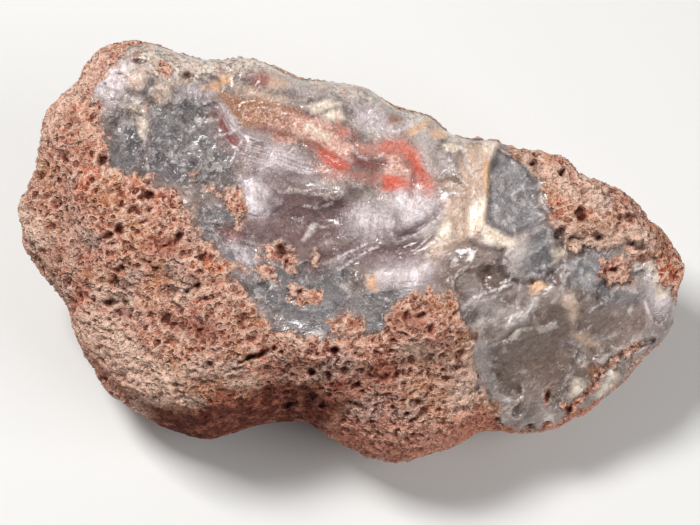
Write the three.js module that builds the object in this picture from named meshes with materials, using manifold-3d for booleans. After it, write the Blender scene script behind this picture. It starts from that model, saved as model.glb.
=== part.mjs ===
// A rough agate half. It is one stone: chalcedony that filled a hollow in red volcanic rock, still in
// its rind, broken open along one side and never cut or polished. It lies on its rounded back.
//
// Units are millimetres, +Z up. The origin is under the middle of the stone, on the surface it rests on.
// The stone is shaped in the frame of its broken face: u runs right along the face, v up the face and
// w out of it. The face leans back from level by FACE_TILT_DEG when the stone is at rest.

import * as THREE from "three";
import { ImprovedNoise } from "three/addons/math/ImprovedNoise.js";
import { mergeVertices } from "three/addons/utils/BufferGeometryUtils.js";
import Module from "manifold-3d";

// ---- driving dimensions ----
const FACE_TILT_DEG = 20;
const FLAT_SPOT_DEPTH = 26.5; // from the face frame's origin straight down to the flat spot the stone rests on
const MESH_DETAIL = 21; // subdivisions of the starting icosahedron: 20 * (n + 1)^2 triangles
const FRONT_CROWDING = 0.22; // how far the mesh is drawn towards the front, where the detail is

// The stone's widest section, seen square on to the face, clockwise from the pointed left tip.
const OUTLINE = [
  [-62.5, 9], [-58.5, 14], [-58, 18.5], [-54.5, 26], [-48.5, 31.5], [-47, 35], [-43.5, 37.5],
  [-37, 38], [-26.5, 35.5], [-17, 36], [-9, 32], [-3, 31.5], [4, 29.5], [8.5, 26.5], [15.5, 25],
  [18.5, 22], [23.5, 20.5], [26.5, 21], [29.5, 19.5], [34.5, 19], [40.5, 17], [42.5, 14.5],
  [47, 13.5], [54.5, 8.5], [61, 1], [62, -2], [61.5, -5], [62, -8.5], [61.5, -12], [57.5, -17.5],
  [55, -18.5], [54.5, -20.5], [51.5, -25.5], [45, -30], [41.5, -30.5], [39, -33], [34.5, -33],
  [31.5, -34.5], [26.5, -34], [22.5, -35], [19.5, -37], [8.5, -39.5], [0, -37.5], [-5.5, -33.5],
  [-11, -32], [-14.5, -32], [-26, -35], [-31.5, -34], [-42.5, -27], [-50.5, -17.5], [-53, -8.5],
  [-61, 2],
];
// The same section with its nicks worn off, which the rounded back follows.
const BACK_OUTLINE = [
  [-60, 8], [-54, 25], [-41, 36.5], [-18, 34.5], [4, 29], [22, 21.5], [42, 15], [58, 3], [61, -8],
  [54, -20], [38, -32], [14, -37.5], [-4, -34.5], [-27, -34], [-43, -26], [-52.5, -11],
];
const OUTLINE_STEPS = 208; // points along the smooth curve through OUTLINE
const BACK_OUTLINE_STEPS = 64;

// How the side wall stands: its widest line climbs from the lower edge of the face to the upper edge,
// and the wall curves in towards the back and the front on SIDE_CURVE.
const WIDEST = { at: 1, perU: 0.03, perV: 0.2 };
const SIDE_CURVE = 27;
const NICK_DEPTH = [3, 13]; // distances behind the widest line over which the nicks fade out

// Planes that bound the front: a point on each, and its rise per millimetre along u and v.
const FRONT_PLANES = [
  { name: "broken face, middle", at: [0, 5, 17], rise: [-0.05, -0.22] },
  { name: "broken face, right", at: [40, -8, 12.5], rise: [-0.3, 0.02] },
  { name: "broken face, lower right bevel", at: [45, -27, 5], rise: [-0.25, 0.45] },
  { name: "broken face, upper right bevel", at: [45, 12, 9.5], rise: [-0.25, -0.4] },
  { name: "rind, front", at: [-35, -8, 16.5], rise: [0.22, 0.18] },
  { name: "rind, left end", at: [-55, 10, 10], rise: [0.8, 0.1] },
  { name: "rind, lower left", at: [-46, -18, 9.5], rise: [0.5, 0.45] },
  { name: "rind, lower edge", at: [-20, -28, 12.5], rise: [0.05, 0.7] },
];
// Planes that bound the rounded back, with w falling away behind the face.
const BACK_PLANES = [
  { name: "middle, which the stone rests on", at: [-6, -4, -27], rise: [0.02, -0.35] },
  { name: "left end", at: [-50, 4, -12], rise: [-0.75, 0.08] },
  { name: "right end", at: [48, -4, -11], rise: [0.62, -0.15] },
  { name: "top", at: [-8, 26, -18], rise: [0.06, 0.75] },
  { name: "upper right", at: [30, 14, -15], rise: [0.45, 0.6] },
  { name: "lower edge", at: [4, -30, -15], rise: [-0.08, -1.1] },
  { name: "lower left", at: [-36, -20, -17], rise: [-0.5, -0.6] },
];
const PLANE_BLEND = 2.4; // how far the planes round into one another
const EDGE_BLEND = 3.6; // how far the front and back round into the side wall

// The agate that the break has laid bare, as a closed outline on the face, clockwise from the upper left.
// It runs past the stone's own edge where the rind there is only a thin rim.
const AGATE_WINDOW = [
  [-46, 29], [-45, 34], [-41, 37], [-36, 41], [-17, 39], [-3, 35], [10, 30], [18, 26], [24, 23],
  [29, 23], [31, 18.5], [34.5, 14], [36, 7.5], [39.5, 2], [46.5, 0.5], [54, -2], [56, -7], [65, -9],
  [65, -15], [56, -19], [47, -27], [42, -30], [37, -33], [30.5, -33.5], [27, -29], [24.5, -23.5],
  [23.5, -18], [21.5, -10], [17.5, -7.5], [12.5, -7.5], [8.5, -10], [7, -14], [3.5, -15.5],
  [-1.5, -15], [-9, -15.5], [-16, -12.5], [-19.5, -7], [-21.5, -2], [-26.5, 2.5], [-28, 6],
  [-34, 9], [-40.5, 12], [-44, 16.5], [-45.5, 23],
];
const RIND_LEDGE = 1.2; // how far the rind stands above the agate beside it
const RIND_LEDGE_WIDTH = 4;

// Lumps that stand out of the front and shallow shell-shaped scars that were struck out of it.
// size is the half length and half width, turn is in degrees from u towards v, rise is at the middle.
const LUMPS = [
  { name: "crystal lump at the upper left", at: [-38, 31], size: [10, 8], turn: 10, rise: 2.4 },
  { name: "rind knob left on the agate", at: [15.5, -13.5], size: [10.5, 7.5], turn: -12, rise: 3.4 },
  { name: "pillar beside the grey plate", at: [26, 10], size: [4.5, 13], turn: 4, rise: 1.8 },
  { name: "swell under the pillar", at: [33, 1], size: [8, 5], turn: 20, rise: 1.6 },
  { name: "upper rim of the face", at: [2, 27], size: [23, 5], turn: -17, rise: 1.4 },
  { name: "rib on the right of the face", at: [42, -5], size: [11, 3.2], turn: 57, rise: 1.8 },
  { name: "rind swell at the lower left", at: [-30, -20], size: [16, 9], turn: -15, rise: 1.2 },
  { name: "rind swell at the upper right", at: [50, 5], size: [11, 5], turn: -38, rise: 1.5 },
];
const SCARS = [
  { name: "long shell in the middle", at: [-7, 4], size: [22, 9.5], turn: -10, depth: 2.6 },
  { name: "shell below the red bands", at: [9, 1], size: [16, 6.5], turn: 30, depth: 1.6 },
  { name: "grey plate", at: [31.5, 11], size: [6.5, 9], turn: 8, depth: 1.5 },
  { name: "large lower shell", at: [37, -21], size: [15, 9.5], turn: 28, depth: 2.2 },
  { name: "shell at the right end", at: [52, -13], size: [9, 6], turn: 35, depth: 1.6 },
  { name: "shell at the upper left", at: [-29, 17], size: [11, 8.5], turn: -35, depth: 1.5 },
  { name: "shell beside the knob", at: [28, -11], size: [8, 5.5], turn: 35, depth: 1.2 },
  { name: "chip in the left rind", at: [-47, 17], size: [5, 4], turn: 40, depth: 1.2 },
];
// The crystal-lined seam that crosses the agate, as a groove along a line.
const SEAM = {
  line: [[-24.5, 30], [-17.5, 24.5], [-10, 21], [-1, 18.5], [9, 15], [15.5, 11]],
  halfWidth: 3.8,
  depth: 1.5,
};
// The groove that the underside's notch cuts up the lower front.
const UNDER_NOTCH = { line: [[-12.5, -34], [-9, -27]], halfWidth: 9, depth: 3 };

// Lumpiness of the whole stone and pits in the rind.
const SWELLS = [
  { size: 17, rise: 1.5 },
  { size: 9, rise: 1.0 },
  { size: 5, rise: 0.55 },
];
const AGATE_SMOOTHNESS = 0.45; // share of the swells that the broken agate keeps
const PITS = { count: 210, radius: [2.2, 3.8], depth: [0.7, 1.7] };

// ---- small maths ----
const lerp = THREE.MathUtils.lerp;
const clamp01 = (x) => THREE.MathUtils.clamp(x, 0, 1);
const radians = THREE.MathUtils.degToRad;

// The larger of a and b, rounded over a blend of width k where they are nearly equal.
function softMax(a, b, k) {
  const near = Math.max(k - Math.abs(a - b), 0) / k;
  return Math.max(a, b) + (near * near * k) / 4;
}

const softMin = (a, b, k) => -softMax(-a, -b, k);

function smoothStep(x) {
  const t = clamp01(x);
  return t * t * (3 - 2 * t);
}

function distanceToSegment(u, v, a, b) {
  const du = b[0] - a[0];
  const dv = b[1] - a[1];
  const t = clamp01(((u - a[0]) * du + (v - a[1]) * dv) / (du * du + dv * dv));
  return Math.hypot(u - a[0] - t * du, v - a[1] - t * dv);
}

function distanceToLine(u, v, line) {
  let least = Infinity;
  for (let i = 1; i < line.length; i++) {
    least = Math.min(least, distanceToSegment(u, v, line[i - 1], line[i]));
  }
  return least;
}

// Signed distance to a closed outline, negative inside.
function distanceToOutline(u, v, loop) {
  let least = Infinity;
  let inside = false;
  for (let i = 0, j = loop.length - 1; i < loop.length; j = i++) {
    const a = loop[i];
    const b = loop[j];
    least = Math.min(least, distanceToSegment(u, v, a, b));
    const crosses = a[1] > v !== b[1] > v;
    if (crosses && u < ((b[0] - a[0]) * (v - a[1])) / (b[1] - a[1]) + a[0]) inside = !inside;
  }
  return inside ? -least : least;
}

function smoothLoop(points, steps) {
  const curve = new THREE.CatmullRomCurve3(
    points.map(([u, v]) => new THREE.Vector3(u, v, 0)),
    true,
    "centripetal",
  );
  return curve.getSpacedPoints(steps).slice(0, steps).map((p) => [p.x, p.y]);
}

// Numbers from 0 to 1 that come out the same on every run.
function seededNumbers(seed) {
  let state = seed;
  return () => {
    state = (state * 1664525 + 1013904223) % 4294967296;
    return state / 4294967296;
  };
}

// ---- the stone as a field: negative inside, positive outside ----
const edgeLoop = smoothLoop(OUTLINE, OUTLINE_STEPS);
const backLoop = smoothLoop(BACK_OUTLINE, BACK_OUTLINE_STEPS);
const windowLoop = smoothLoop(AGATE_WINDOW, AGATE_WINDOW.length * 2);
const noise = new ImprovedNoise();

// How far outside the bare agate a point on the front is, in millimetres; negative on the agate.
const outsideAgate = (u, v) => distanceToOutline(u, v, windowLoop);

function planeHeight(plane, u, v) {
  const [u0, v0, w0] = plane.at;
  return w0 + plane.rise[0] * (u - u0) + plane.rise[1] * (v - v0);
}

// Squared distance from an oval's middle, 1 on its rim.
function ovalShare(oval, u, v) {
  const turn = radians(oval.turn);
  const du = u - oval.at[0];
  const dv = v - oval.at[1];
  const along = (du * Math.cos(turn) + dv * Math.sin(turn)) / oval.size[0];
  const across = (dv * Math.cos(turn) - du * Math.sin(turn)) / oval.size[1];
  return along * along + across * across;
}

function grooveDepth(groove, u, v) {
  const share = distanceToLine(u, v, groove.line) / groove.halfWidth;
  return groove.depth * Math.max(1 - share * share, 0);
}

function frontHeight(u, v) {
  let w = FRONT_PLANES.map((p) => planeHeight(p, u, v)).reduce((a, b) => softMin(a, b, PLANE_BLEND));
  for (const lump of LUMPS) {
    w += lump.rise * Math.max(1 - ovalShare(lump, u, v), 0) ** 1.5;
  }
  for (const scar of SCARS) {
    w -= scar.depth * Math.max(1 - ovalShare(scar, u, v), 0);
  }
  w -= grooveDepth(SEAM, u, v) + grooveDepth(UNDER_NOTCH, u, v);
  return w + RIND_LEDGE * smoothStep(outsideAgate(u, v) / RIND_LEDGE_WIDTH);
}

function backHeight(u, v) {
  return BACK_PLANES.map((p) => planeHeight(p, u, v)).reduce((a, b) => softMax(a, b, 3 * PLANE_BLEND));
}

function sideDistance(u, v, w) {
  const fromWidest = w - (WIDEST.at + WIDEST.perU * u + WIDEST.perV * v);
  const worn = smoothStep((-fromWidest - NICK_DEPTH[0]) / (NICK_DEPTH[1] - NICK_DEPTH[0]));
  const inPlan = lerp(distanceToOutline(u, v, edgeLoop), distanceToOutline(u, v, backLoop), worn);
  return inPlan + (fromWidest * fromWidest) / (2 * SIDE_CURVE);
}

function swell(p) {
  let rise = 0;
  SWELLS.forEach((s, i) => {
    rise += s.rise * noise.noise(p.x / s.size + 7.3 * i, p.y / s.size, p.z / s.size);
  });
  return rise;
}

function stoneField(p) {
  const front = p.z - frontHeight(p.x, p.y);
  const back = backHeight(p.x, p.y) - p.z;
  const side = sideDistance(p.x, p.y, p.z);
  const solid = softMax(softMax(front, back, EDGE_BLEND), side, EDGE_BLEND);
  const bareAgate = p.z > 0 ? smoothStep(-outsideAgate(p.x, p.y) / RIND_LEDGE_WIDTH) : 0;
  return solid - swell(p) * lerp(1, AGATE_SMOOTHNESS, bareAgate);
}

// The outermost point of the stone on a ray from the middle of the face frame.
function surfacePoint(direction) {
  const reach = 1.6;
  const step = 0.04;
  const halvings = 18;
  const isInside = (t) => stoneField(new THREE.Vector3().addScaledVector(direction, t)) < 0;
  let inner = reach;
  while (inner > 0 && !isInside(inner)) inner -= step;
  let outer = inner + step;
  for (let i = 0; i < halvings; i++) {
    const middle = (inner + outer) / 2;
    if (isInside(middle)) inner = middle;
    else outer = middle;
  }
  return new THREE.Vector3().addScaledVector(direction, (inner + outer) / 2);
}

// ---- mesh ----
// Turns a direction towards the front, most where it points sideways.
function crowdToFront(direction) {
  const fromFront = Math.acos(THREE.MathUtils.clamp(direction.z, -1, 1));
  const turned = fromFront - FRONT_CROWDING * Math.sin(fromFront);
  const sideways = Math.hypot(direction.x, direction.y);
  const share = sideways > 0 ? Math.sin(turned) / sideways : 0;
  direction.set(direction.x * share, direction.y * share, Math.cos(turned));
}

function stoneGeometry() {
  const start = new THREE.IcosahedronGeometry(1, MESH_DETAIL);
  start.deleteAttribute("normal");
  start.deleteAttribute("uv");
  const geometry = mergeVertices(start);
  const halfSize = new THREE.Vector3(62, 36, 27);
  const position = geometry.getAttribute("position");
  const direction = new THREE.Vector3();
  for (let i = 0; i < position.count; i++) {
    crowdToFront(direction.fromBufferAttribute(position, i));
    const p = surfacePoint(direction.multiply(halfSize));
    position.setXYZ(i, p.x, p.y, p.z);
  }
  sinkPits(geometry);
  return geometry;
}

// Presses round pits into the rind, each towards the inside of the stone.
function sinkPits(geometry) {
  const position = geometry.getAttribute("position");
  geometry.computeVertexNormals();
  const normal = geometry.getAttribute("normal").clone();
  const random = seededNumbers(11);
  const points = [];
  for (let i = 0; i < position.count; i++) {
    points.push(new THREE.Vector3().fromBufferAttribute(position, i));
  }
  const inward = new Float32Array(position.count);
  for (let made = 0; made < PITS.count; ) {
    const centre = points[Math.floor(random() * points.length)];
    const radius = lerp(...PITS.radius, random() ** 2);
    const depth = lerp(...PITS.depth, random());
    if (centre.z > 0 && outsideAgate(centre.x, centre.y) < radius) continue;
    made++;
    points.forEach((p, i) => {
      const share = p.distanceTo(centre) / radius;
      if (share < 1) inward[i] = Math.max(inward[i], depth * (1 - share * share));
    });
  }
  const n = new THREE.Vector3();
  points.forEach((p, i) => {
    p.addScaledVector(n.fromBufferAttribute(normal, i), -inward[i]);
    position.setXYZ(i, p.x, p.y, p.z);
  });
  geometry.deleteAttribute("normal");
}

function solidFrom(wasm, geometry) {
  return new wasm.Manifold(
    new wasm.Mesh({
      numProp: 3,
      vertProperties: new Float32Array(geometry.getAttribute("position").array),
      triVerts: new Uint32Array(geometry.index.array),
    }),
  );
}

function geometryFrom(solid) {
  const mesh = solid.getMesh();
  return new THREE.BufferGeometry()
    .setAttribute("position", new THREE.BufferAttribute(mesh.vertProperties, 3))
    .setIndex(new THREE.BufferAttribute(mesh.triVerts, 1));
}

// Takes off what reaches below the flat spot.
function restOnFlatSpot(wasm, geometry) {
  const blockSide = 300;
  const block = new THREE.BoxGeometry(blockSide, blockSide, blockSide);
  block.deleteAttribute("normal");
  block.deleteAttribute("uv");
  block.translate(0, 0, -FLAT_SPOT_DEPTH - blockSide / 2);
  return geometryFrom(solidFrom(wasm, geometry).subtract(solidFrom(wasm, mergeVertices(block))));
}

// Moves the stone so that the origin is under the middle of its box.
function standOnOrigin(geometry) {
  geometry.computeBoundingBox();
  const { min, max } = geometry.boundingBox;
  return geometry.translate(-(min.x + max.x) / 2, -(min.y + max.y) / 2, -min.z);
}

const wasm = await Module();
wasm.setup();

const stone = stoneGeometry().applyMatrix4(new THREE.Matrix4().makeRotationX(radians(FACE_TILT_DEG)));
const geometry = standOnOrigin(restOnFlatSpot(wasm, stone));
geometry.computeVertexNormals();

const agateHalf = new THREE.Mesh(
  geometry,
  new THREE.MeshStandardMaterial({ color: 0x96705f, roughness: 0.75, metalness: 0 }),
);
agateHalf.name = "agate_half";

const group = new THREE.Group();
group.add(agateHalf);

export default group;
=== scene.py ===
"""Finish of a rough agate half: a broken chalcedony face set in a pitted, brick-red volcanic rind."""

import itertools
import math

import bpy
import numpy as np
from mathutils import Matrix, Vector


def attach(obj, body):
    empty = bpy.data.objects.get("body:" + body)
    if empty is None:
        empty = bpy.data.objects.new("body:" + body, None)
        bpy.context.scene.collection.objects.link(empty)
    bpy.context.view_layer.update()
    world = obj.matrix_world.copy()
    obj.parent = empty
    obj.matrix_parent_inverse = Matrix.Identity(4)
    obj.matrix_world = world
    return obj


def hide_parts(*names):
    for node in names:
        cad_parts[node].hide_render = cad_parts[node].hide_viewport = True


bl_info = {
    "name": "Rough Agate Half",
    "version": (1, 0, 0),
    "blender": (4, 5, 0),
    "location": "3D Viewport > Sidebar > Agate",
    "description": "Builds the broken face, the pitted rind and the stage of a rough agate half",
    "category": "Object",
}

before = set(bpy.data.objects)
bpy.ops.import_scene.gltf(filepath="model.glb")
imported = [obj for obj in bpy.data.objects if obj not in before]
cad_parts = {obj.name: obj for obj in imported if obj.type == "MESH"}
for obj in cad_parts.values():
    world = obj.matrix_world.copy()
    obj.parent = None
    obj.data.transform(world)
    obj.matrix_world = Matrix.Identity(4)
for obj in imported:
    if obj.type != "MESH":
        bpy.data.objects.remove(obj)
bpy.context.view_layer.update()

# ---------------------------------------------------------------------------------------------------
# The face frame: u runs right along the broken face, v up it and w out of it, in millimetres.
# ---------------------------------------------------------------------------------------------------
MM = 0.001
FACE_TILT = math.radians(20)
FACE_CENTRE_MM = np.array((-0.6, 1.0, 26.5))  # the face frame's origin, over the resting surface
EYE_DISTANCE_MM = 400.0  # the camera looks straight down w from here
EYE_AIM_MM = (0.56, -1.78)  # where its axis meets the face frame's uv plane

FACE_AXES = np.array(
    (
        (1.0, 0.0, 0.0),
        (0.0, math.cos(FACE_TILT), math.sin(FACE_TILT)),
        (0.0, -math.sin(FACE_TILT), math.cos(FACE_TILT)),
    )
)


def to_face(places):
    """Places in the row frame, in metres, as (u, v, w) in millimetres."""
    return (places / MM - FACE_CENTRE_MM) @ FACE_AXES.T


def from_face(places_mm):
    """Places given as (u, v, w) in millimetres, in the row frame in metres."""
    return (places_mm @ FACE_AXES + FACE_CENTRE_MM) * MM


def as_seen(places_mm):
    """(u, v) of the spot on the plane w = 0 that the eye sees each place against."""
    aim = np.array(EYE_AIM_MM)
    nearer = EYE_DISTANCE_MM / (EYE_DISTANCE_MM - places_mm[:, 2])
    return aim + (places_mm[:, :2] - aim) * nearer[:, None]


# ---------------------------------------------------------------------------------------------------
# Marks on the face, in millimetres as seen. A mark is a patch (closed outline), a stroke (half width
# and a line) or an oval (middle, half length, half width and turn in degrees). Outlines and lines are
# written as across, up, across, up ...
# ---------------------------------------------------------------------------------------------------
def patch(*outline):
    return ("patch", np.reshape(outline, (-1, 2)))


def stroke(half_width, *line):
    return ("stroke", np.reshape(line, (-1, 2)), half_width)


def oval(across, up, half_length, half_width, turn=0):
    return ("oval", (across, up), half_length, half_width, turn)


AGATE_WINDOW = patch(-46.5, 29.5, -45.5, 34, -41.5, 37, -37, 40, -17, 40, -3, 35, 10, 30, 17.5, 27, 23,
    23.5, 28.5, 21, 31, 19, 34, 16, 36.5, 12, 36.5, 7.5, 39, 5.5, 40.5, 1, 43, -0.5, 46, 0.5, 51, 0.5,
    55.5, -1, 57.5, -3, 59, -7, 66, -9, 66, -14.5, 55.5, -18.5, 53, -22, 47.5, -27.5, 41.5, -30, 37, -32,
    30.5, -32.5, 27, -28.5, 24.5, -23, 23.5, -17, 21.5, -9.5, 19, -7.5, 15.5, -6.5, 12, -7.5, 8.5, -9.5,
    7, -13.5, 4.5, -15.5, -1.5, -15, -5.5, -15.5, -9, -15.5, -13.5, -13.5, -16, -12, -17, -9, -19.5, -7,
    -21, -4, -21.5, -1.5, -24.5, 1, -26.5, 2.5, -27.5, 4.5, -29, 6, -30.3, 9.3, -32.3, 12, -35, 13.1,
    -38.5, 14.4, -41.9, 15.5, -44.5, 17.5, -45.5, 23,
)

RIND_ISLANDS = (
    patch(-22.6, 12.1, -20.7, 13.1, -18.9, 9, -19.3, 5.8, -20.4, 4.7, -21.3, 7.1, -22.2, 9),
    patch(-26.7, 12.5, -24.9, 13.1, -24.3, 11.8, -26, 11),
    patch(-15.9, 1.3, -13.5, 1.9, -10.7, 1.1, -9.3, -1.7, -9.5, -3.7, -11.4, -2.8, -14, -1.7, -15.9, -1.3),
    patch(-7.5, -1.7, -6.2, 0.2, -5.2, -0.9, -5.4, -3.2, -6.7, -2.8),
    patch(-21.5, -1.7, -17.2, -2.4, -12.5, -3.6, -12.3, -5.2, -15.9, -4.9, -20, -3.4),
    patch(-12.3, -6, -9.5, -5.2, -5.4, -7.3, -5, -9.3, -8.8, -10.3, -11, -8.4),
    patch(-17.8, -8.6, -16.3, -9, -15.3, -12.1, -16.6, -12.5, -17.6, -10.7),
    patch(-3.9, -15.1, -2.6, -12.1, -0.4, -10.8, 2.8, -12.1, 3.6, -14.8, -0.4, -16.6),
    patch(-29.7, 15.9, -28, 15.1, -28.4, 13.1, -29.5, 14),
    patch(47.7, -1.7, 49.2, -0.4, 51.4, -0.6, 53.1, -2.8, 53.3, -5, 51.4, -6.7, 48.8, -6.4, 47.9, -4.1),
    patch(37, -26, 38.3, -25.2, 38.5, -27.5, 37.4, -27.9),
    patch(39.8, -27.9, 42.4, -27.9, 43.6, -29.7, 40.7, -30.5),
    patch(-40.6, 37.9, -38.3, 38.3, -37.9, 36.4, -40, 36.1),
    patch(-35.3, 36.4, -32.7, 35.7, -33.1, 33.5, -35, 34.2),
    patch(-31.2, 35, -28.6, 33.8, -29, 31.6, -30.8, 32),
    stroke(0.55, 57, -16.4, 54.8, -17.4, 52, -18.5, 49.5, -20.4, 47.3, -22.8, 45.4, -25.6, 42.6, -27.9),
)

# Marks that also stand out or lie sunk.
SUGAR_BAND = stroke(1.7, -18.1, 25.8, -14.4, 25.4, -4.7, 22.4, -0.2, 18.9)
CREAM_CHIP = patch(18.1, 20.2, 19.6, 20.7, 21.5, 20, 20.4, 18.9, 18.7, 19.1)
ORANGE_SPOT = patch(34, -6.2, 35, -5.4, 36.6, -5.2, 37, -6.4, 36.1, -7.3, 34.6, -7.5)
WHITE_KNOB = patch(-19.4, 13.1, -17, 13.5, -15.9, 12.5, -15.9, 10.7, -15, 8.8, -16.6, 7.3, -18.7, 7.5,
                   -19.8, 9.9)
TAN_PLATE = patch(40.2, -8.8, 41.1, -7.9, 42.4, -7.7, 43.2, -9.2, 43, -11.8, 42.4, -13.3, 41.5, -12.1,
                  41.1, -10.3, 40.2, -9.7)
AMBER_SLIT = patch(20.2, -14.6, 24.5, -15, 24.3, -16.1, 20.7, -16.4)

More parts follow.
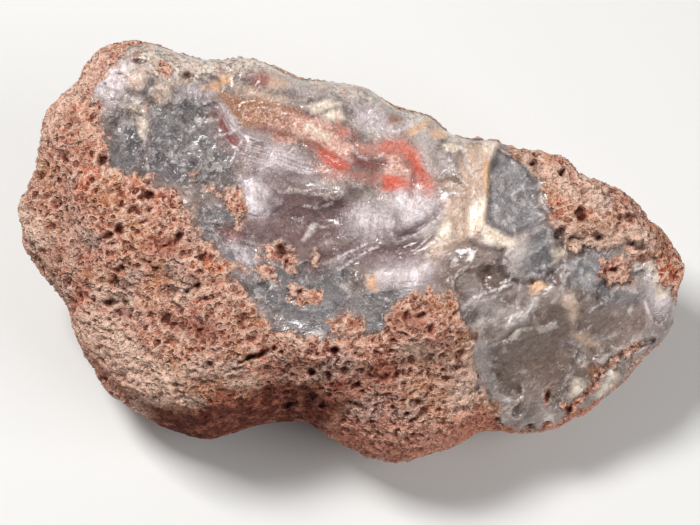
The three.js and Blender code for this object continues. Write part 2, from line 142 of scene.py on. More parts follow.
# Kinds of mark, most of them named for their colour. "frost" is where the face is frosted with fine cracks,
# "crust" where it is mottled, "flake" and "line" are bright chips and raised threads, the threads partly
# painted glints, "druse" is sugary with crystals, and the kinds from "stain" on lie on the rind. Of these,
# "pale" holds a painted highlight along the lower left rim, and two kinds are painted shade: one in the
# rind's recesses, and the last one where the rind turns down, away from the light.
MARKS = {
    "mauve": (
        patch(-21.5, 11, -10.5, 13, -0.5, 11, 0.5, 9, 0, 6, -1.5, 3, -8, 0, -9.5, -1.5, -12, 2, -20.5, 1.5,
            -24, 2.5, -25, 4.5, -20.5, 6, -18, 7.5, -19.5, 9.5),
        patch(-9, -1.5, -5.5, 1, -0.5, 2, 9.5, 2, 17, 3.5, 14.5, 0.5, 10, -1.5, 1, -1.5, -6.5, -4.5),
        patch(9, 5, 17.5, 9, 16.5, 7, 14.5, 5, 11.5, 3, 9, 2.5),
        stroke(0.6, -17.4, 14.4, -13.5, 14, -8.8, 15.1),
        stroke(1.7, -25, 26.7, -23.9, 23.7, -22.2, 21.3, -20, 20, -17, 19.1),
        oval(0.2, 12.7, 1.3, 0.8, -40),
    ),
    "blue": (
        patch(-43, 24, -39, 24, -37.5, 20.5, -38, 18, -39.5, 16.5, -41.5, 15.5, -44.5, 16.5),
        patch(-37, 32.5, -33.5, 27, -31.5, 30, -27.5, 31, -26, 29, -26, 23.5, -23.5, 19.5, -21.5, 17.5,
            -21.5, 14.5, -28.5, 13, -33, 13.5, -37.5, 15, -36.5, 23, -37.5, 29.5),
        patch(-28, 6, -25, 6, -25, 3.5, -23.5, 2, -18, 0.5, -17.5, -2, -19.5, -3, -22, -1.5, -26.5, 3),
        patch(-26.7, 8.2, -23.4, 9, -20.6, 7.7, -21.5, 5.6, -26.4, 5.8),
        patch(-21.5, 14.4, -18.1, 13.6, -20, 9.9, -20.7, 7.3, -22.6, 8.8),
        patch(-17.5, -3.5, -15, -2, -11.5, -1.5, -9, -3, -1.5, -2, 1, -3, -0.5, -7, 3, -7.5, 10, -6, 14.5,
            -6.5, 12, -9, 9, -9, 7, -12, 7, -15.5, 3.5, -15.5, 3, -11, -0.5, -9.5, -3, -12, -3, -15.5, -6.5,
            -16.5, -10.5, -14.5, -13.5, -11, -19, -6.5),
        patch(34, 4.5, 37, 5.5, 39, 3.5, 38.5, 0.5, 39.5, -1.5, 38, -3.5, 36, -5, 34, -5, 32.5, -3, 34,
            -0.5),
        patch(43, -0.5, 47.5, 0, 49.5, -1, 47, -5.5, 50, -7, 55, -7.5, 55.5, -4, 55, -1.5, 52.5, -4.5, 55,
            -1.5, 56.5, -1, 57, -5, 55, -9, 49.5, -10, 43, -5.5, 42, -3),
    ),
    "slate": (
        patch(28, 19.5, 29.5, 18, 32.5, 17, 34.5, 15, 35.5, 12.5, 35.5, 9, 37, 7, 36, 5.5, 31, 3.5, 26, 5.5,
            26.5, 16),
        patch(40.9, -1.7, 43.6, -0.9, 47.3, -1.7, 46.9, -5, 44.7, -6.9, 42.6, -5.8),
    ),
    "smoky": (
        patch(23, -7.5, 28.5, -6, 32.5, -9, 37, -11, 40.5, -9, 45.5, -7.5, 51, -9.5, 56.5, -9.5, 57.5,
            -13.5, 53, -16.5, 42.5, -26.5, 39, -28, 36, -27, 32.5, -29.5, 28, -28, 26, -25.5, 24.5, -18.5,
            26.5, -16, 23, -14.5),
        patch(15.5, -1.5, 19.5, 1, 23, 1.5, 29, -2.5, 30.5, -5, 28.5, -6.5, 21.5, -9, 16, -4),
    ),
    "haze": (
        patch(-16, 35.5, -8, 35, 13, 27, 18, 23.5, 16, 19.5, 17.5, 15, 15.5, 13.5, 11.5, 22, 8.5, 26.5,
            -11.5, 30.5),
        patch(30, 2, 31.5, 3.5, 34, 5, 34, 2, 32.5, -3.5, 30.5, -4, 29.5, -2),
        patch(0.5, 25, 4.5, 26.5, 10.5, 22.5, 9, 21, 4.5, 21.5, 1.5, 22.5),
        patch(5.8, -3.2, 10.7, -2.8, 11, -6.2, 6.9, -6.9, 5.8, -6.5),
        patch(-9, 13.5, -3, 14.5, 0.5, 12.5, -0.5, 11, -5.5, 12),
        patch(2.8, 11.4, 8.8, 11.4, 9.2, 8.8, 5.8, 7.3, 2.4, 8),
        stroke(1.3, 24.7, -17, 25.2, -21.9, 26.9, -26.4), stroke(1.4, 24.1, -8.8, 32.3, -12.1),
        stroke(1.0, 25.2, -12.9, 30.1, -13.6),
        patch(-47.5, 31.5, -42.5, 31, -37, 29.5, -40, 28, -45.5, 27.5),
        patch(-15.7, 12.1, -12.5, 11.8, -9.5, 9.9, -11.6, 8.4, -14.8, 9.5),
        patch(16.6, 19.3, 19.3, 17.8, 20.4, 15.1, 18.5, 14.4, 16.6, 16.3),
        patch(17.4, 11.4, 19.3, 11.4, 19.3, 5, 17.4, 4.7),
    ),
    "tan": (
        patch(-15.1, 33.5, -12.5, 33.3, -10.7, 31.6, -12.5, 30.5, -15.1, 30.8),
        patch(19.3, 10.7, 22.1, 10.5, 22.8, 7.1, 21.9, 3.9, 19.6, 4.7, 18.9, 7.7),
        patch(15.5, 1.5, 17.5, 3, 23.5, 3.5, 24, 2.5, 20.5, 1.5, 16.5, -1.5, 14.5, -1.5),
        patch(21.5, 20.5, 28, 20.5, 26.5, 16.5, 26, 6, 24.5, 2.5, 19.5, 3, 18, 5, 18, 10, 20.5, 11),
        patch(-42.1, 33.3, -40.9, 33.8, -37.6, 33.5, -37.9, 30.8, -40.2, 30.1, -41.7, 31.6),
        patch(-36.4, 30.1, -35.3, 31.6, -32.7, 31.2, -32.9, 29, -35, 27.9, -36.8, 28.6),
        patch(-21, 31.5, -16, 30.5, -10.5, 28.5, -14, 27.5, -20.5, 30),
        patch(16.8, 13.3, 18.9, 14.2, 21.1, 13.5, 22.6, 11.4, 20.2, 11.6, 18.3, 12.1),
        patch(42.1, -15.1, 45.4, -15.5, 46.9, -17.4, 44.3, -18.1), TAN_PLATE,
    ),
    "lavender": (
        patch(-23.5, 28, -22, 28.5, -20, 22.5, -16, 22, -11.5, 20, -8.5, 18, -5.5, 14.5, -9, 13.5, -14.5,
            15, -18, 17, -22, 20.5, -24, 25.5),
        patch(-31.6, 31.2, -26.5, 31.6, -24.5, 30.1, -27.5, 29.2, -30.8, 29.5),
        patch(1, 27.5, 4.5, 28, 12, 25, 11, 23.5, 8, 23, 5, 23.5, 2, 25),
        patch(12.5, 12.1, 15.3, 12.1, 16.6, 9.9, 14.4, 9.2, 12.1, 10.7),
    ),
    "pink": (
        patch(-6.4, 16.8, -3.9, 17, -1.3, 15.1, 0.6, 14.4, -1.3, 13.5, -4.7, 14),
        patch(1, 20.5, 7, 20.5, 10.5, 19.5, 10.5, 18, 3, 18, 1.5, 19),
        patch(-5, 25, -2.8, 24.9, -1.3, 23.6, -2.4, 22.6, -4.7, 23.4),
        patch(9.5, 15.5, 12.9, 14.4, 16.3, 12.5, 16.3, 10.7, 9.5, 12.1),
        patch(-19, 26.5, -14, 27.5, -5.5, 24.5, 0.5, 19.5, -0.5, 18, -4.5, 20.5, -16, 23.5),
    ),
    "frost": (
        patch(-47.5, 32.5, -37.5, 29.5, -32, 31, -26.5, 30.5, -26, 23.5, -22, 17.5, -22, 13.5, -27.5, 11,
            -37.5, 16.5, -41.5, 16.5, -44.5, 26.5),
        patch(-29, 10, -20, 8.5, -17.5, 0.5, -12, -1.5, -12.5, -10.5, -18, -9, -23, -1.5),
        stroke(1.4, -8.8, -3.6, -0.4, -5, 4.7, -8.4, 9.9, -8),
        patch(27, 17.5, 34, 15.5, 35.5, 7, 30, 3.5, 26.5, 6),
        stroke(1.6, 23, -11.8, 26, -11.8, 26, -18.1, 28.6, -22.2, 26, -26.7),
        stroke(1.6, 37, -1.7, 39.1, -0.4),
        patch(43, -1, 47.5, 0, 49.5, -1.5, 47, -5, 51, -9, 48, -10, 43.5, -6),
        stroke(2.0, 39.1, -27.1, 44.5, -24.7, 49.2, -20), stroke(1.4, 42.6, -17.4, 44.5, -18.5),
        patch(-9, 34, -1.5, 32.5, 13.5, 26.5, 17.5, 22, 6, 26.5, -5, 29),
    ),
    "crust": (
        patch(-46, 34.5, -41.5, 38, -35, 38.5, -33.5, 36.5, -37, 34.5, -44.5, 32.5),
        patch(-47.5, 31.5, -45.5, 35.5, -41.5, 38.5, -35, 39.5, -26.5, 36.5, -20, 36.5, -16, 34, -26.5, 33,
            -29.5, 31, -34, 32, -37, 33.5, -45, 29),
        stroke(1.4, -20, 36.4, -12.5, 34.6, -5, 32, 2.4, 30.1, 9.9, 27.1, 17.4, 23, 21.5, 21.5),
        patch(36, 16, 43.5, 17.5, 49, 12, 47.5, 7, 40, 7, 37, 10),
        patch(-41.7, 27.9, -38.7, 29, -36.8, 27.1, -37.6, 24.9, -39.8, 25.6),
        stroke(1.2, 54.8, -1.7, 57, -1.7, 57.4, -5),
    ),
    "cream": (
        patch(-8, 27.3, -3.2, 28.6, -0.9, 28, -6.2, 26),
        patch(-4.7, 25.6, -2.8, 26.9, -1.1, 26.4, -0.6, 25.2, -2.1, 24.7, -3.9, 24.9),
        patch(25.2, 20.9, 28, 20.7, 27.7, 18.9, 26.5, 17, 25.6, 18.9),
        patch(23.4, 9.9, 26.4, 10.7, 26, 5.8, 24.5, 3.6, 22.6, 3.6, 22.2, 7.3),
        patch(25.6, 5.2, 28, 4.3, 31.2, 2.4, 31, 0.9, 28.6, 1.1, 26, 1.9, 24.7, 3.4),
        patch(38.1, 0.6, 39.8, 1.1, 41.3, 0.2, 39.8, -0.9, 39.3, -2.6),
        patch(-38.9, 25.6, -37.6, 25.2, -37.2, 23.4, -37.9, 21.3, -38.7, 22.2, -39.3, 24.1),
        patch(57.9, -3.6, 59.3, -3.6, 60.7, -7.3, 59.3, -8.4, 57.9, -8, 57.4, -6.2),
        patch(42.4, -23.4, 44.1, -23.7, 44.7, -25.6, 43.2, -27.5, 41.7, -26.7),
        patch(47.3, -24.7, 49, -23.4, 49.9, -24.9, 48.4, -26),
        patch(48.6, -22.6, 49.5, -21.5, 51, -23, 49.9, -24.1),
        patch(46.5, -26, 47.7, -25.4, 48, -27.1, 47.1, -26.9), CREAM_CHIP,
        patch(48, -19.3, 48.8, -19.3, 48.4, -20.4, 47.7, -20.2),
        stroke(0.45, -15.9, 35.7, -10.7, 34.6, -4.7, 31.6), stroke(0.5, -7.3, 23.6, -3.6, 21.5),
        patch(17.4, 5.8, 18.9, 6.2, 19.8, 3.9, 18.5, 2.4, 17, 3.2),
    ),
    "white": (
        patch(9.9, -2.8, 13.6, -2.4, 15.5, -1.7, 13.8, -6.2, 10.3, -6.5),
        stroke(0.4, 6.2, -4.3, 8.4, -3.7, 10.3, -4.3),
        patch(9.2, 11.8, 12, 11.8, 14.4, 11.2, 16.3, 9.3, 15.7, 7.9, 13.6, 7.1, 11.8, 5.6, 10.5, 5.8, 9.5,
            7.7, 9, 9.9),
        patch(2.6, 8, 5.8, 7.7, 8.8, 8.8, 8.4, 5, 6.9, 5.4, 5.8, 4.1, 3.9, 3.9, 0.9, 5, 1.5, 6.9),
        WHITE_KNOB, patch(-46.5, 33.8, -41.3, 34.6, -42.1, 30.5, -44.7, 28.6, -46.7, 30.1),
        patch(-21.3, 0.9, -19.6, 0.2, -17.4, -1.7, -18.5, -2.8, -20.4, -0.9),
        patch(57, -6.9, 58.9, -6, 61.1, -5.8, 61.9, -7.5, 60, -9.2, 57.8, -9.5),
    ),
    "flake": (
        patch(12.1, 2.8, 13.6, 4.5, 17.4, 6.4, 16.6, 3.9, 14.4, 2.8),
        patch(-43.2, 25.2, -39.4, 24.9, -39.8, 23.6, -42.8, 23.6),
        patch(34.8, -8.2, 36.3, -8.2, 35.1, -11.8, 34.2, -11.2, 34, -9.9),
        patch(35.7, -14.4, 37.2, -13.3, 38.9, -12.9, 39.4, -13.8, 37.6, -15, 36.1, -15),
        patch(30.5, -15.9, 31.6, -14.4, 32.7, -14.6, 32, -15.9, 30.7, -17),
        patch(22.2, -13.6, 24.5, -12.3, 26.4, -11.8, 25.6, -13.1, 23.7, -14.2),
        patch(43.6, -5.4, 45.4, -3.4, 45.8, -4.1, 45, -5.4, 44.1, -5.8),
        patch(10.7, 24.7, 14.6, 25.4, 12.1, 23.9, 11, 24.1),
        patch(-1.5, -5.8, -0.4, -5.2, 0.9, -5.8, 0, -7.1, -1.3, -6.7),
        patch(-8.8, 2.4, -6.4, 5.8, -5.4, 5.6, -6.4, 3.7, -8, 2.1),
        patch(-7.9, -15.3, -5.4, -14, -3.9, -15.1, -4.7, -16.6, -7.3, -16.8),
        patch(-26.5, 25.2, -25.2, 25.6, -24.9, 24.7, -26.4, 24.3),
        patch(-29.7, 20, -28.2, 20.6, -27.5, 19.4, -29.3, 18.9),
        patch(-25.2, 16.3, -23.7, 16.4, -23.4, 15.5, -24.9, 14.8), oval(27.3, -21.1, 0.9, 0.4),
        oval(29.5, -18.1, 0.7, 0.4, 60), oval(-32.7, 18.3, 1, 0.5, -20), oval(-29.2, 23, 0.7, 0.5, 20),
        oval(-27.9, 24.9, 0.9, 0.4, 15), oval(53.1, -10.7, 0.9, 0.4, 75), oval(48.2, -19.8, 1, 0.6, 60),
        oval(43.6, -20, 0.8, 0.3, 40), oval(30.1, -27.3, 1.2, 0.5, 10), oval(37.8, -31.2, 1, 1.3, 20),
        oval(41.5, -23, 0.9, 0.5, 30), oval(49.9, -15.5, 0.8, 0.3, 30),
    ),
    # White raised threads, partly painted glints along raised edges.
    "line": (
        stroke(0.4, 34.4, -10.5, 33.3, -12, 31.4, -13.1, 29.2, -13.8),
        stroke(0.35, 30.7, -16.3, 26.4, -17.6), stroke(0.3, 23.7, -8.4, 30.5, -6),
        stroke(0.3, 27.5, -8.4, 29, -8.8, 30.5, -9.9, 32.3, -10.5), stroke(0.3, 31.8, -9.7, 32.5, -5),
        stroke(0.3, 21.7, -10.3, 23.7, -8.4), stroke(0.3, 55.7, -9.2, 56.3, -11.4),
        stroke(0.25, 42.1, -16.6, 43.6, -17.4, 44.7, -18.5), stroke(0.25, 43.2, -15.5, 45.8, -13.6),
        stroke(0.25, 45.4, -11, 47.7, -9.2), stroke(0.25, 49.2, -17, 50.3, -18.1),
        stroke(0.25, 44.5, -19.3, 44.3, -21.5), stroke(0.3, 12.1, 3, 17.4, 6.5),
        stroke(0.3, -2.1, -0.9, 3.6, 1.7), stroke(0.35, -26.7, 8, -25.2, 8.8, -23.4, 8.8),
        stroke(0.3, -26, 6, -23.4, 5.8), stroke(0.35, -27.5, 4.5, -26, 4.9, -24.3, 3.9),
        stroke(0.4, -8.2, 8.8, -5.4, 8.4, -2.8, 9.3),
        stroke(0.3, 4.7, 24.7, 6.9, 23, 9.5, 22.8, 11.4, 23.7), stroke(0.3, 18.9, 18.1, 21.9, 12.9),
        stroke(0.35, 21.5, 20, 22.2, 17, 23.7, 14.4),
        stroke(0.3, 0.9, 20, 2.1, 18.3, 3.6, 17.6, 5.6, 17.8, 7.1, 18.7),
        stroke(0.25, -24.7, 21.7, -21.9, 22.4, -20, 23.4), stroke(0.3, -22.2, 15.9, -19.6, 21.1),
        stroke(0.35, -32.9, 17.4, -31.6, 16.6, -29.9, 16.6),
        stroke(0.3, -39.1, 18.9, -37.9, 20.4, -37.4, 22.6), stroke(0.3, 29.2, -2.2, 30.7, -4.5, 30.3, -5.2),
        stroke(0.3, 30.5, 1.1, 29.3, -1.7), stroke(0.3, 31, 11, 32.7, 12.1, 33.8, 14),
        stroke(0.25, 32.7, 12.5, 34.8, 8.8), stroke(0.3, 27.1, 14.4, 28.2, 14.8),
        stroke(0.3, 29.3, 5.8, 30.8, 6.2, 31.4, 4.3), stroke(0.25, 26.4, 9, 28.2, 8.8),
        stroke(0.3, 6.2, 1.3, 3.6, 0.2, -1.7, -3.2), stroke(0.25, -16.3, 15.5, -13.5, 16.6, -9.5, 15.9),
        stroke(0.3, 39.1, -1.7, 39.4, -2.8, 37.2, -5.2), stroke(0.3, 34.6, 8, 37, 6.7),
        stroke(0.3, 7.1, 5.8, 7.7, 4.3, 8.4, 3.6),
    ),
    "red": (
        patch(-5.4, 20.4, -0.9, 18.1, 0.7, 16.6, 0, 15.3, -2.1, 15.5, -3.9, 16.6, -5.4, 18.3),
        patch(6.9, 14.4, 9.9, 14.2, 10.3, 12.9, 8.4, 12.1, 6.9, 12.3), stroke(0.4, 11, 19.3, 14.4, 14.4),
    ),
    "coral": (
        stroke(1.3, 7.3, 19.8, 9.7, 20, 11.2, 19.1, 15, 12.7),
        patch(6.9, 14.4, 12.3, 14, 12.1, 12.3, 9.9, 12.3, 8.4, 11.8, 6.9, 12.1),
        patch(-1.7, 23.7, -0.2, 23.4, 0.9, 21.7, -0.7, 21.5, -1.9, 22.4),
    ),
    "rose": (
        patch(1.5, 20, 4, 19, 7, 19, 8.5, 20, 9.5, 18.5, 5, 17.5, 3, 18),
        patch(0.2, 15.7, 2.8, 15.1, 6.5, 15, 6.7, 12.3, 3.6, 12.9, 0.9, 14),
        patch(-8.4, 21.5, -5.6, 20.7, -3.7, 19.4, -5.4, 18.5, -7.7, 19.6),
        patch(-10.7, 26.9, -4.9, 25.2, -5.4, 24.3, -8.4, 24.9),
        patch(-18.5, 33.1, -15.9, 34, -14.4, 33.1, -14.8, 31.2, -17.4, 31.2),
        patch(-23.4, 4.3, -20.7, 4.5, -19.6, 2.8, -21.9, 2.1),
    ),
    "maroon": (
        patch(-24.5, 26.2, -23.6, 26.2, -21.9, 22.4, -22.8, 22.2, -23.9, 23.7),
        patch(-22.8, 21.9, -21.5, 22.6, -19.8, 21.1, -20.4, 20.2, -22.1, 20.7),
        stroke(0.55, 0.9, 18.3, 2.2, 17, 3.9, 16.3, 5.8, 16.3, 6.9, 16.6), oval(-12.1, 22.2, 1.2, 0.6),
        stroke(0.35, -16.6, 23.2, -14, 22.8), stroke(0.3, 12.5, 15.1, 12, 11),
        oval(1.5, 21.5, 0.8, 0.5, 80),
    ),
    "amber": (
        stroke(0.7, -23.2, 29.5, -19.4, 24.7, -17.8, 24.1, -15.9, 24.3),
        patch(-22.6, 29.9, -18.9, 28.4, -17, 29, -15.3, 28.4, -15.5, 27.3, -19.3, 26.4, -20.7, 26.9, -21.9,
            28.2),
        stroke(0.5, -15.1, 27.7, -8.8, 26), patch(25.6, -28.2, 28.6, -27.9, 29.2, -29.7, 26.2, -30.3),
        patch(44.7, -21.5, 47.9, -20.7, 48.4, -22.6, 45.8, -23.7), AMBER_SLIT, oval(9, 25, 1.2, 0.8),
    ),
    "orange": (
        patch(-27.3, 31, -25.2, 31.4, -22.8, 33.3, -21.3, 32.9, -21.5, 32, -24.9, 30.5, -26.7, 30.3),
        ORANGE_SPOT, patch(3.7, -4.5, 5.2, -4.3, 5.4, -6.9, 3.9, -6.9), stroke(0.5, 12.1, 22.6, 15.1, 24.5),
        patch(15.9, 22.6, 17.4, 23.2, 18.7, 22.1, 17.4, 21.3, 16.3, 21.7),
        stroke(0.5, 26.2, 17.4, 26, 11.4),
    ),
    "druse": (
        SUGAR_BAND, patch(6.9, 18.5, 9.5, 19.3, 11.6, 15, 9.2, 14.6, 7.1, 14.8, 7.7, 16.8),
        stroke(0.8, -13.3, 21.9, -10.7, 21.5, -8.4, 22.2),
    ),
    "stain": (
        oval(-49.3, 11.8, 2.4, 1.8, 60), oval(-48, 15.1, 1.6, 1), oval(39.4, 9.9, 1, 0.7, 40),
        oval(38.1, 7.3, 0.9, 0.6), oval(59.3, -4.1, 2, 2.2), oval(54.8, -1.7, 1.6, 1),
        oval(-24.9, -2.4, 1.6, 1.1), oval(44.5, 7.5, 1.8, 0.8),
    ),
    "ash": (
        patch(-53.6, 1.3, -50.7, 1.9, -49.9, -0.6, -52.5, -1.3),
        patch(-49.2, 3.2, -46.9, 3.2, -46.5, 0.9, -48.8, 0.9),
        patch(-41.3, -2.8, -38.3, -2.1, -37.6, -5, -40.6, -6.2),
        patch(-23.7, -20, -20, -19.6, -19.6, -22.2, -23.4, -22.6),
        patch(-53.6, -6.2, -51.8, -5.8, -51, -11, -52.9, -11.8),
        patch(45, 11.8, 48.4, 12.9, 50.3, 9.2, 47.3, 7.7, 44.7, 8.8),
        patch(52.9, 5, 57, 3.9, 58.5, 0.6, 54.8, 1.3),
    ),
    # Pale rind; its broad stroke along the lower left rim is also a painted highlight.
    "pale": (
        stroke(1.6, -62.2, 8.8, -57.4, 2.8, -53.3, -0.6), stroke(1.2, -31.2, -27.5, -27.9, -28.2),
        stroke(1.0, -20.7, -24.5, -17.4, -24.1), stroke(3.8, -47.7, -13.6, -40.9, -20.4, -35.3, -24.9),
        stroke(0.9, -58.1, 21.1, -53.6, 27.7, -48.4, 32.3, -46.2, 36.1), oval(-30.5, -15.3, 1, 1),
        stroke(2.4, 26, -17.2, 25.2, -22.2, 21.1, -27.5), oval(12.7, -18.1, 2.4, 1.6),
        stroke(2.2, 39.1, 2.4, 45.4, 1.3, 54, 2.4), stroke(1.6, 34.2, 16.3, 39.8, 14.4, 42.8, 10.7),
        oval(-28.2, -22.2, 3, 1.4), oval(-38.7, -28.2, 2.4, 1.6, -40), oval(-46.2, -7.3, 1.6, 1.6),
        oval(-42.4, -8.8, 1.8, 1.6), oval(-30.8, -8, 1.8, 2),
        stroke(1.2, 43.2, 15.1, 45.8, 11.8, 47.3, 8.8), stroke(0.7, 36.4, 16.8, 40.2, 15.1),
        oval(52.5, 0.2, 1.6, 1, 20), oval(-15.9, 0.6, 1.4, 0.8),
    ),
    # Painted shade: darker rind in recesses, where shade falls.
    "recess_shade": (
        oval(-34.2, 1.3, 3.4, 1.5), oval(-27.1, -14.4, 4.6, 1.6, -15), oval(-1.3, -24.9, 2.6, 1.8),
        oval(6.7, -21.9, 2.6, 2.4), oval(11.4, -12.5, 2.8, 1.2), oval(-53.6, 0.2, 2.2, 1.4),
        oval(-21.5, -27.1, 2.2, 1.4),
    ),
    "warm": (
        stroke(2.6, -50.7, -10.7, -45.4, -20.4, -36.4, -27.9, -26.5, -33.1, -15.9, -32),
        stroke(2.6, -5.4, -32.1, 5.8, -37.2, 17.4, -35.3, 26, -32),
        stroke(1.8, 28.6, -32, 39.8, -31.6, 48, -27.1),
    ),
    # Painted shade: darker red on the rind where it turns down, away from the light.
    "underside_shade": (
        patch(-37, -28, -31, -28.5, -12.5, -24.5, -5.5, -25, 0.5, -26, 3, -27.5, -5.5, -35, -9, -37, -27.5,
            -38.5, -35, -33),
    ),
}

# Deep gas holes and splits in the rind. The material paints shade inside them.
HOLES = (
    oval(43.7, 7.3, 1.1, 1.4), oval(39.8, 3.7, 1, 1.4, -30), oval(46.7, 3, 1.1, 0.9),
    oval(54.2, 1.5, 2, 0.7, -10), oval(51.8, 6.7, 1.8, 0.6), stroke(0.3, 42.1, 2.8, 44.3, 2.6),
    oval(40.4, 15.5, 0.5, 0.5), oval(34.8, 17, 0.6, 0.5), stroke(0.35, 11, -12.5, 14.4, -11.4),
    oval(11, -12.1, 0.8, 1.1), stroke(0.4, -19.8, -20.4, -13.5, -17.9),
    stroke(0.35, -29.9, -6.9, -27.9, -6), oval(-44.7, 3.2, 1.1, 0.7, 20), oval(-42.6, 4.3, 1.2, 0.8, 60),
    oval(-37.6, 10.7, 1.3, 0.6, 20), oval(-31.6, 2.8, 1.3, 0.8, 50), oval(-44.7, -9.3, 1.7, 0.6, 5),
    oval(-41.7, -9.2, 0.6, 0.5), oval(-45.8, 17.4, 0.8, 1.6, -20), oval(-2.1, -18.3, 0.9, 0.7),
    oval(-6.7, -22.1, 0.8, 0.7), oval(-12.3, 0.6, 0.8, 1.1), oval(-11.4, -1.7, 0.4, 0.9),
    oval(-11.2, -28.6, 1, 0.7, 30), oval(-6.4, -26.5, 0.8, 0.6), oval(-4.7, -28.6, 0.6, 0.5),
    oval(49.7, -3.2, 0.9, 0.6, 30), oval(37.6, -26.7, 0.6, 0.9), oval(41.3, -29, 0.7, 0.9),
    oval(34.2, -32.5, 1, 0.5), oval(28, -31.2, 0.8, 0.6), stroke(0.3, -10.8, -6.9, -8.8, -7.3),
    oval(-29.5, 33.1, 0.9, 0.7), oval(-39.1, 35.9, 1, 0.4),
)

# Lumps and ridges that stand up from the face, each a mark with its height and how far it slopes.
RAISED = (
    (patch(30, 1.5, 31.5, 3.5, 37, 5.5, 38.5, 3.5, 39, -2, 36.5, -4.5, 33.5, -5, 31, -4.5, 29, -2), 1.3, 0.7),
    (stroke(1.2, 42.6, -0.7, 40.2, -4.3, 37.9, -8.4), 0.9, 1.8),
    (stroke(0.5, 35.7, -5.8, 33.6, -11.6, 30.1, -13.6), 0.6, 1.2),
    (patch(21.5, 20.7, 28, 20.7, 27.5, 18.5, 26.4, 16.4, 23, 16.3, 21.9, 18.5), 1.2, 0.6),
    (patch(23, 16.5, 26.5, 16.5, 26, 5.5, 31, 2.5, 31, 1, 26, 1.5, 22.5, 3, 22.5, 9, 23.5, 13.5), 0.8, 0.8),
    (CREAM_CHIP, 0.7, 0.5),
    (patch(3.5, -4, 6, -3, 13.5, -2.5, 15.5, -1.5, 14, -6, 3.5, -7.5), 0.7, 0.4),
    (TAN_PLATE, 0.6, 0.4),
    (ORANGE_SPOT, 0.5, 0.4),
    (patch(38.1, 0.6, 39.8, 1.1, 41.3, 0.2, 39.8, -0.9, 39.3, -2.8), 0.6, 0.5),
    (patch(30.5, -16, 31.5, -14.5, 36, -14, 39, -13, 39.5, -14, 32, -16.5), 0.5, 0.5),
    (stroke(0.4, -4.3, -2.1, 0.6, 0.2, 9.9, 2.4, 14.6, 4.5, 17.4, 6.5), 0.5, 1.2),
    (stroke(0.4, -15.9, 10.7, -11.6, 8.8, -6.9, 9, -1.3, 11), 0.5, 1.4),
    (WHITE_KNOB, 0.6, 0.5),
    (oval(-39.6, 32, 2.2, 1.8, -20), 1.0, 1.0),
    (oval(-44.3, 30.8, 2.6, 2), 0.9, 1.2),
    (oval(-34.8, 29.7, 2, 1.7), 0.8, 1.0),
    (oval(-43.6, 26.5, 2, 1.8), 0.6, 1.0),
    (oval(-38.1, 23.4, 2.4, 0.7, 85), 0.5, 0.7),
    (SUGAR_BAND, 0.7, 1.2),
    (patch(-8, 27.3, -3.2, 28.6, -0.9, 28, -0.6, 25.2, -3.9, 24.9), 0.5, 0.5),
    (stroke(1.2, 5.8, 20.2, 10.3, 20.2, 12.5, 17.4, 14.8, 12.9), 0.3, 0.8),
)

# Cracks and steps that are sunk into it.
SUNK = (
    (patch(28, 19.5, 32.5, 17, 35.5, 13, 36, 9, 37.5, 7, 31, 3, 26, 5.5, 26.5, 16), 1.1, 0.5),
    (stroke(0.3, 32.3, 3.9, 37.6, 6.4), 0.9, 0.6),
    (patch(24.9, -3.7, 26.7, -2.1, 29, -2.6, 30.3, -4.7, 28.6, -6.2, 25.6, -6.4), 0.6, 0.5),
    (patch(6.9, 14.4, 12.3, 14.2, 12.3, 12.7, 6.9, 12.3), 0.3, 0.3),
    (stroke(0.3, 12.5, 15.5, 12.1, 10.7), 0.5, 0.5),
    (patch(16.8, 13.3, 18.9, 14.2, 21.1, 13.5, 22.6, 11.4, 18.3, 12.1), 0.5, 0.6),
    (stroke(0.5, 57, -16.4, 52, -18.5, 49.5, -20.4, 47.3, -22.8, 45.4, -25.6, 42.6, -27.9), 1.0, 0.8),
    (stroke(0.4, 8.6, 3.9, 9.3, 9, 9, 11.8), 0.4, 0.8),
    (stroke(0.4, 9.9, 2.8, 14.6, 5.4, 17.4, 8.4), 0.6, 0.8),
    (stroke(0.35, 0.7, 23.4, 1.3, 20, 2.8, 17.4, 6.9, 16.8), 0.4, 0.5),
    (AMBER_SLIT, 0.8, 0.5),
)

# Shell-shaped scars where flakes broke away: middle, half length, half width, turn and depth.
SCARS = (
    ((-12.0, 6.0), 13.0, 5.5, -12, 1.2),
    ((1.0, 5.0), 7.0, 6.0, 10, 0.9),
    ((9.0, -1.0), 11.0, 3.6, 27, 0.8),
    ((-2.0, -5.0), 10.0, 4.2, 22, 0.7),
    ((19.5, -1.5), 7.0, 3.2, 32, 0.8),
    ((27.0, -5.0), 5.0, 3.0, 18, 0.7),
    ((26.0, -11.5), 5.0, 3.2, 10, 0.7),
    ((34.0, -21.0), 13.0, 6.5, 30, 1.0),
    ((50.0, -12.5), 8.0, 5.0, 38, 0.9),
    ((44.0, -3.5), 4.0, 3.0, 60, 0.5),
    ((-29.0, 23.5), 5.5, 5.0, 0, 0.7),
    ((-41.0, 19.0), 4.0, 5.5, 10, 0.8),
    ((-34.0, 15.0), 6.5, 3.6, -20, 0.7),
    ((-24.0, 12.0), 5.0, 3.4, -30, 0.6),
    ((-12.0, 16.5), 10.0, 2.6, -18, 0.5),
    ((4.0, 25.0), 7.0, 2.4, -18, 0.5),
    ((18.0, 14.0), 3.0, 6.5, 14, 0.4),
    ((-20.0, -2.0), 4.0, 2.2, -35, 0.5),
    ((-12.0, -12.0), 5.0, 2.4, -15, 0.5),
)

RIPPLE_CENTRE = (-8.0, 37.0)  # the blow that opened the face fell here, and its ripples run round it
BAND_LINE = (
    (-24.5, 29), (-22.5, 26.5), (-21, 24), (-19.5, 22), (-16, 21), (-10.5, 19.5), (-5.5, 18), (0, 15),
)  # fine layers of growth run along it


# ---------------------------------------------------------------------------------------------------
# Shapes and noise on arrays of places
# ---------------------------------------------------------------------------------------------------
def smooth_step(low, high, x):
    share = np.clip((x - low) / (high - low), 0, 1)
    return share * share * (3 - 2 * share)


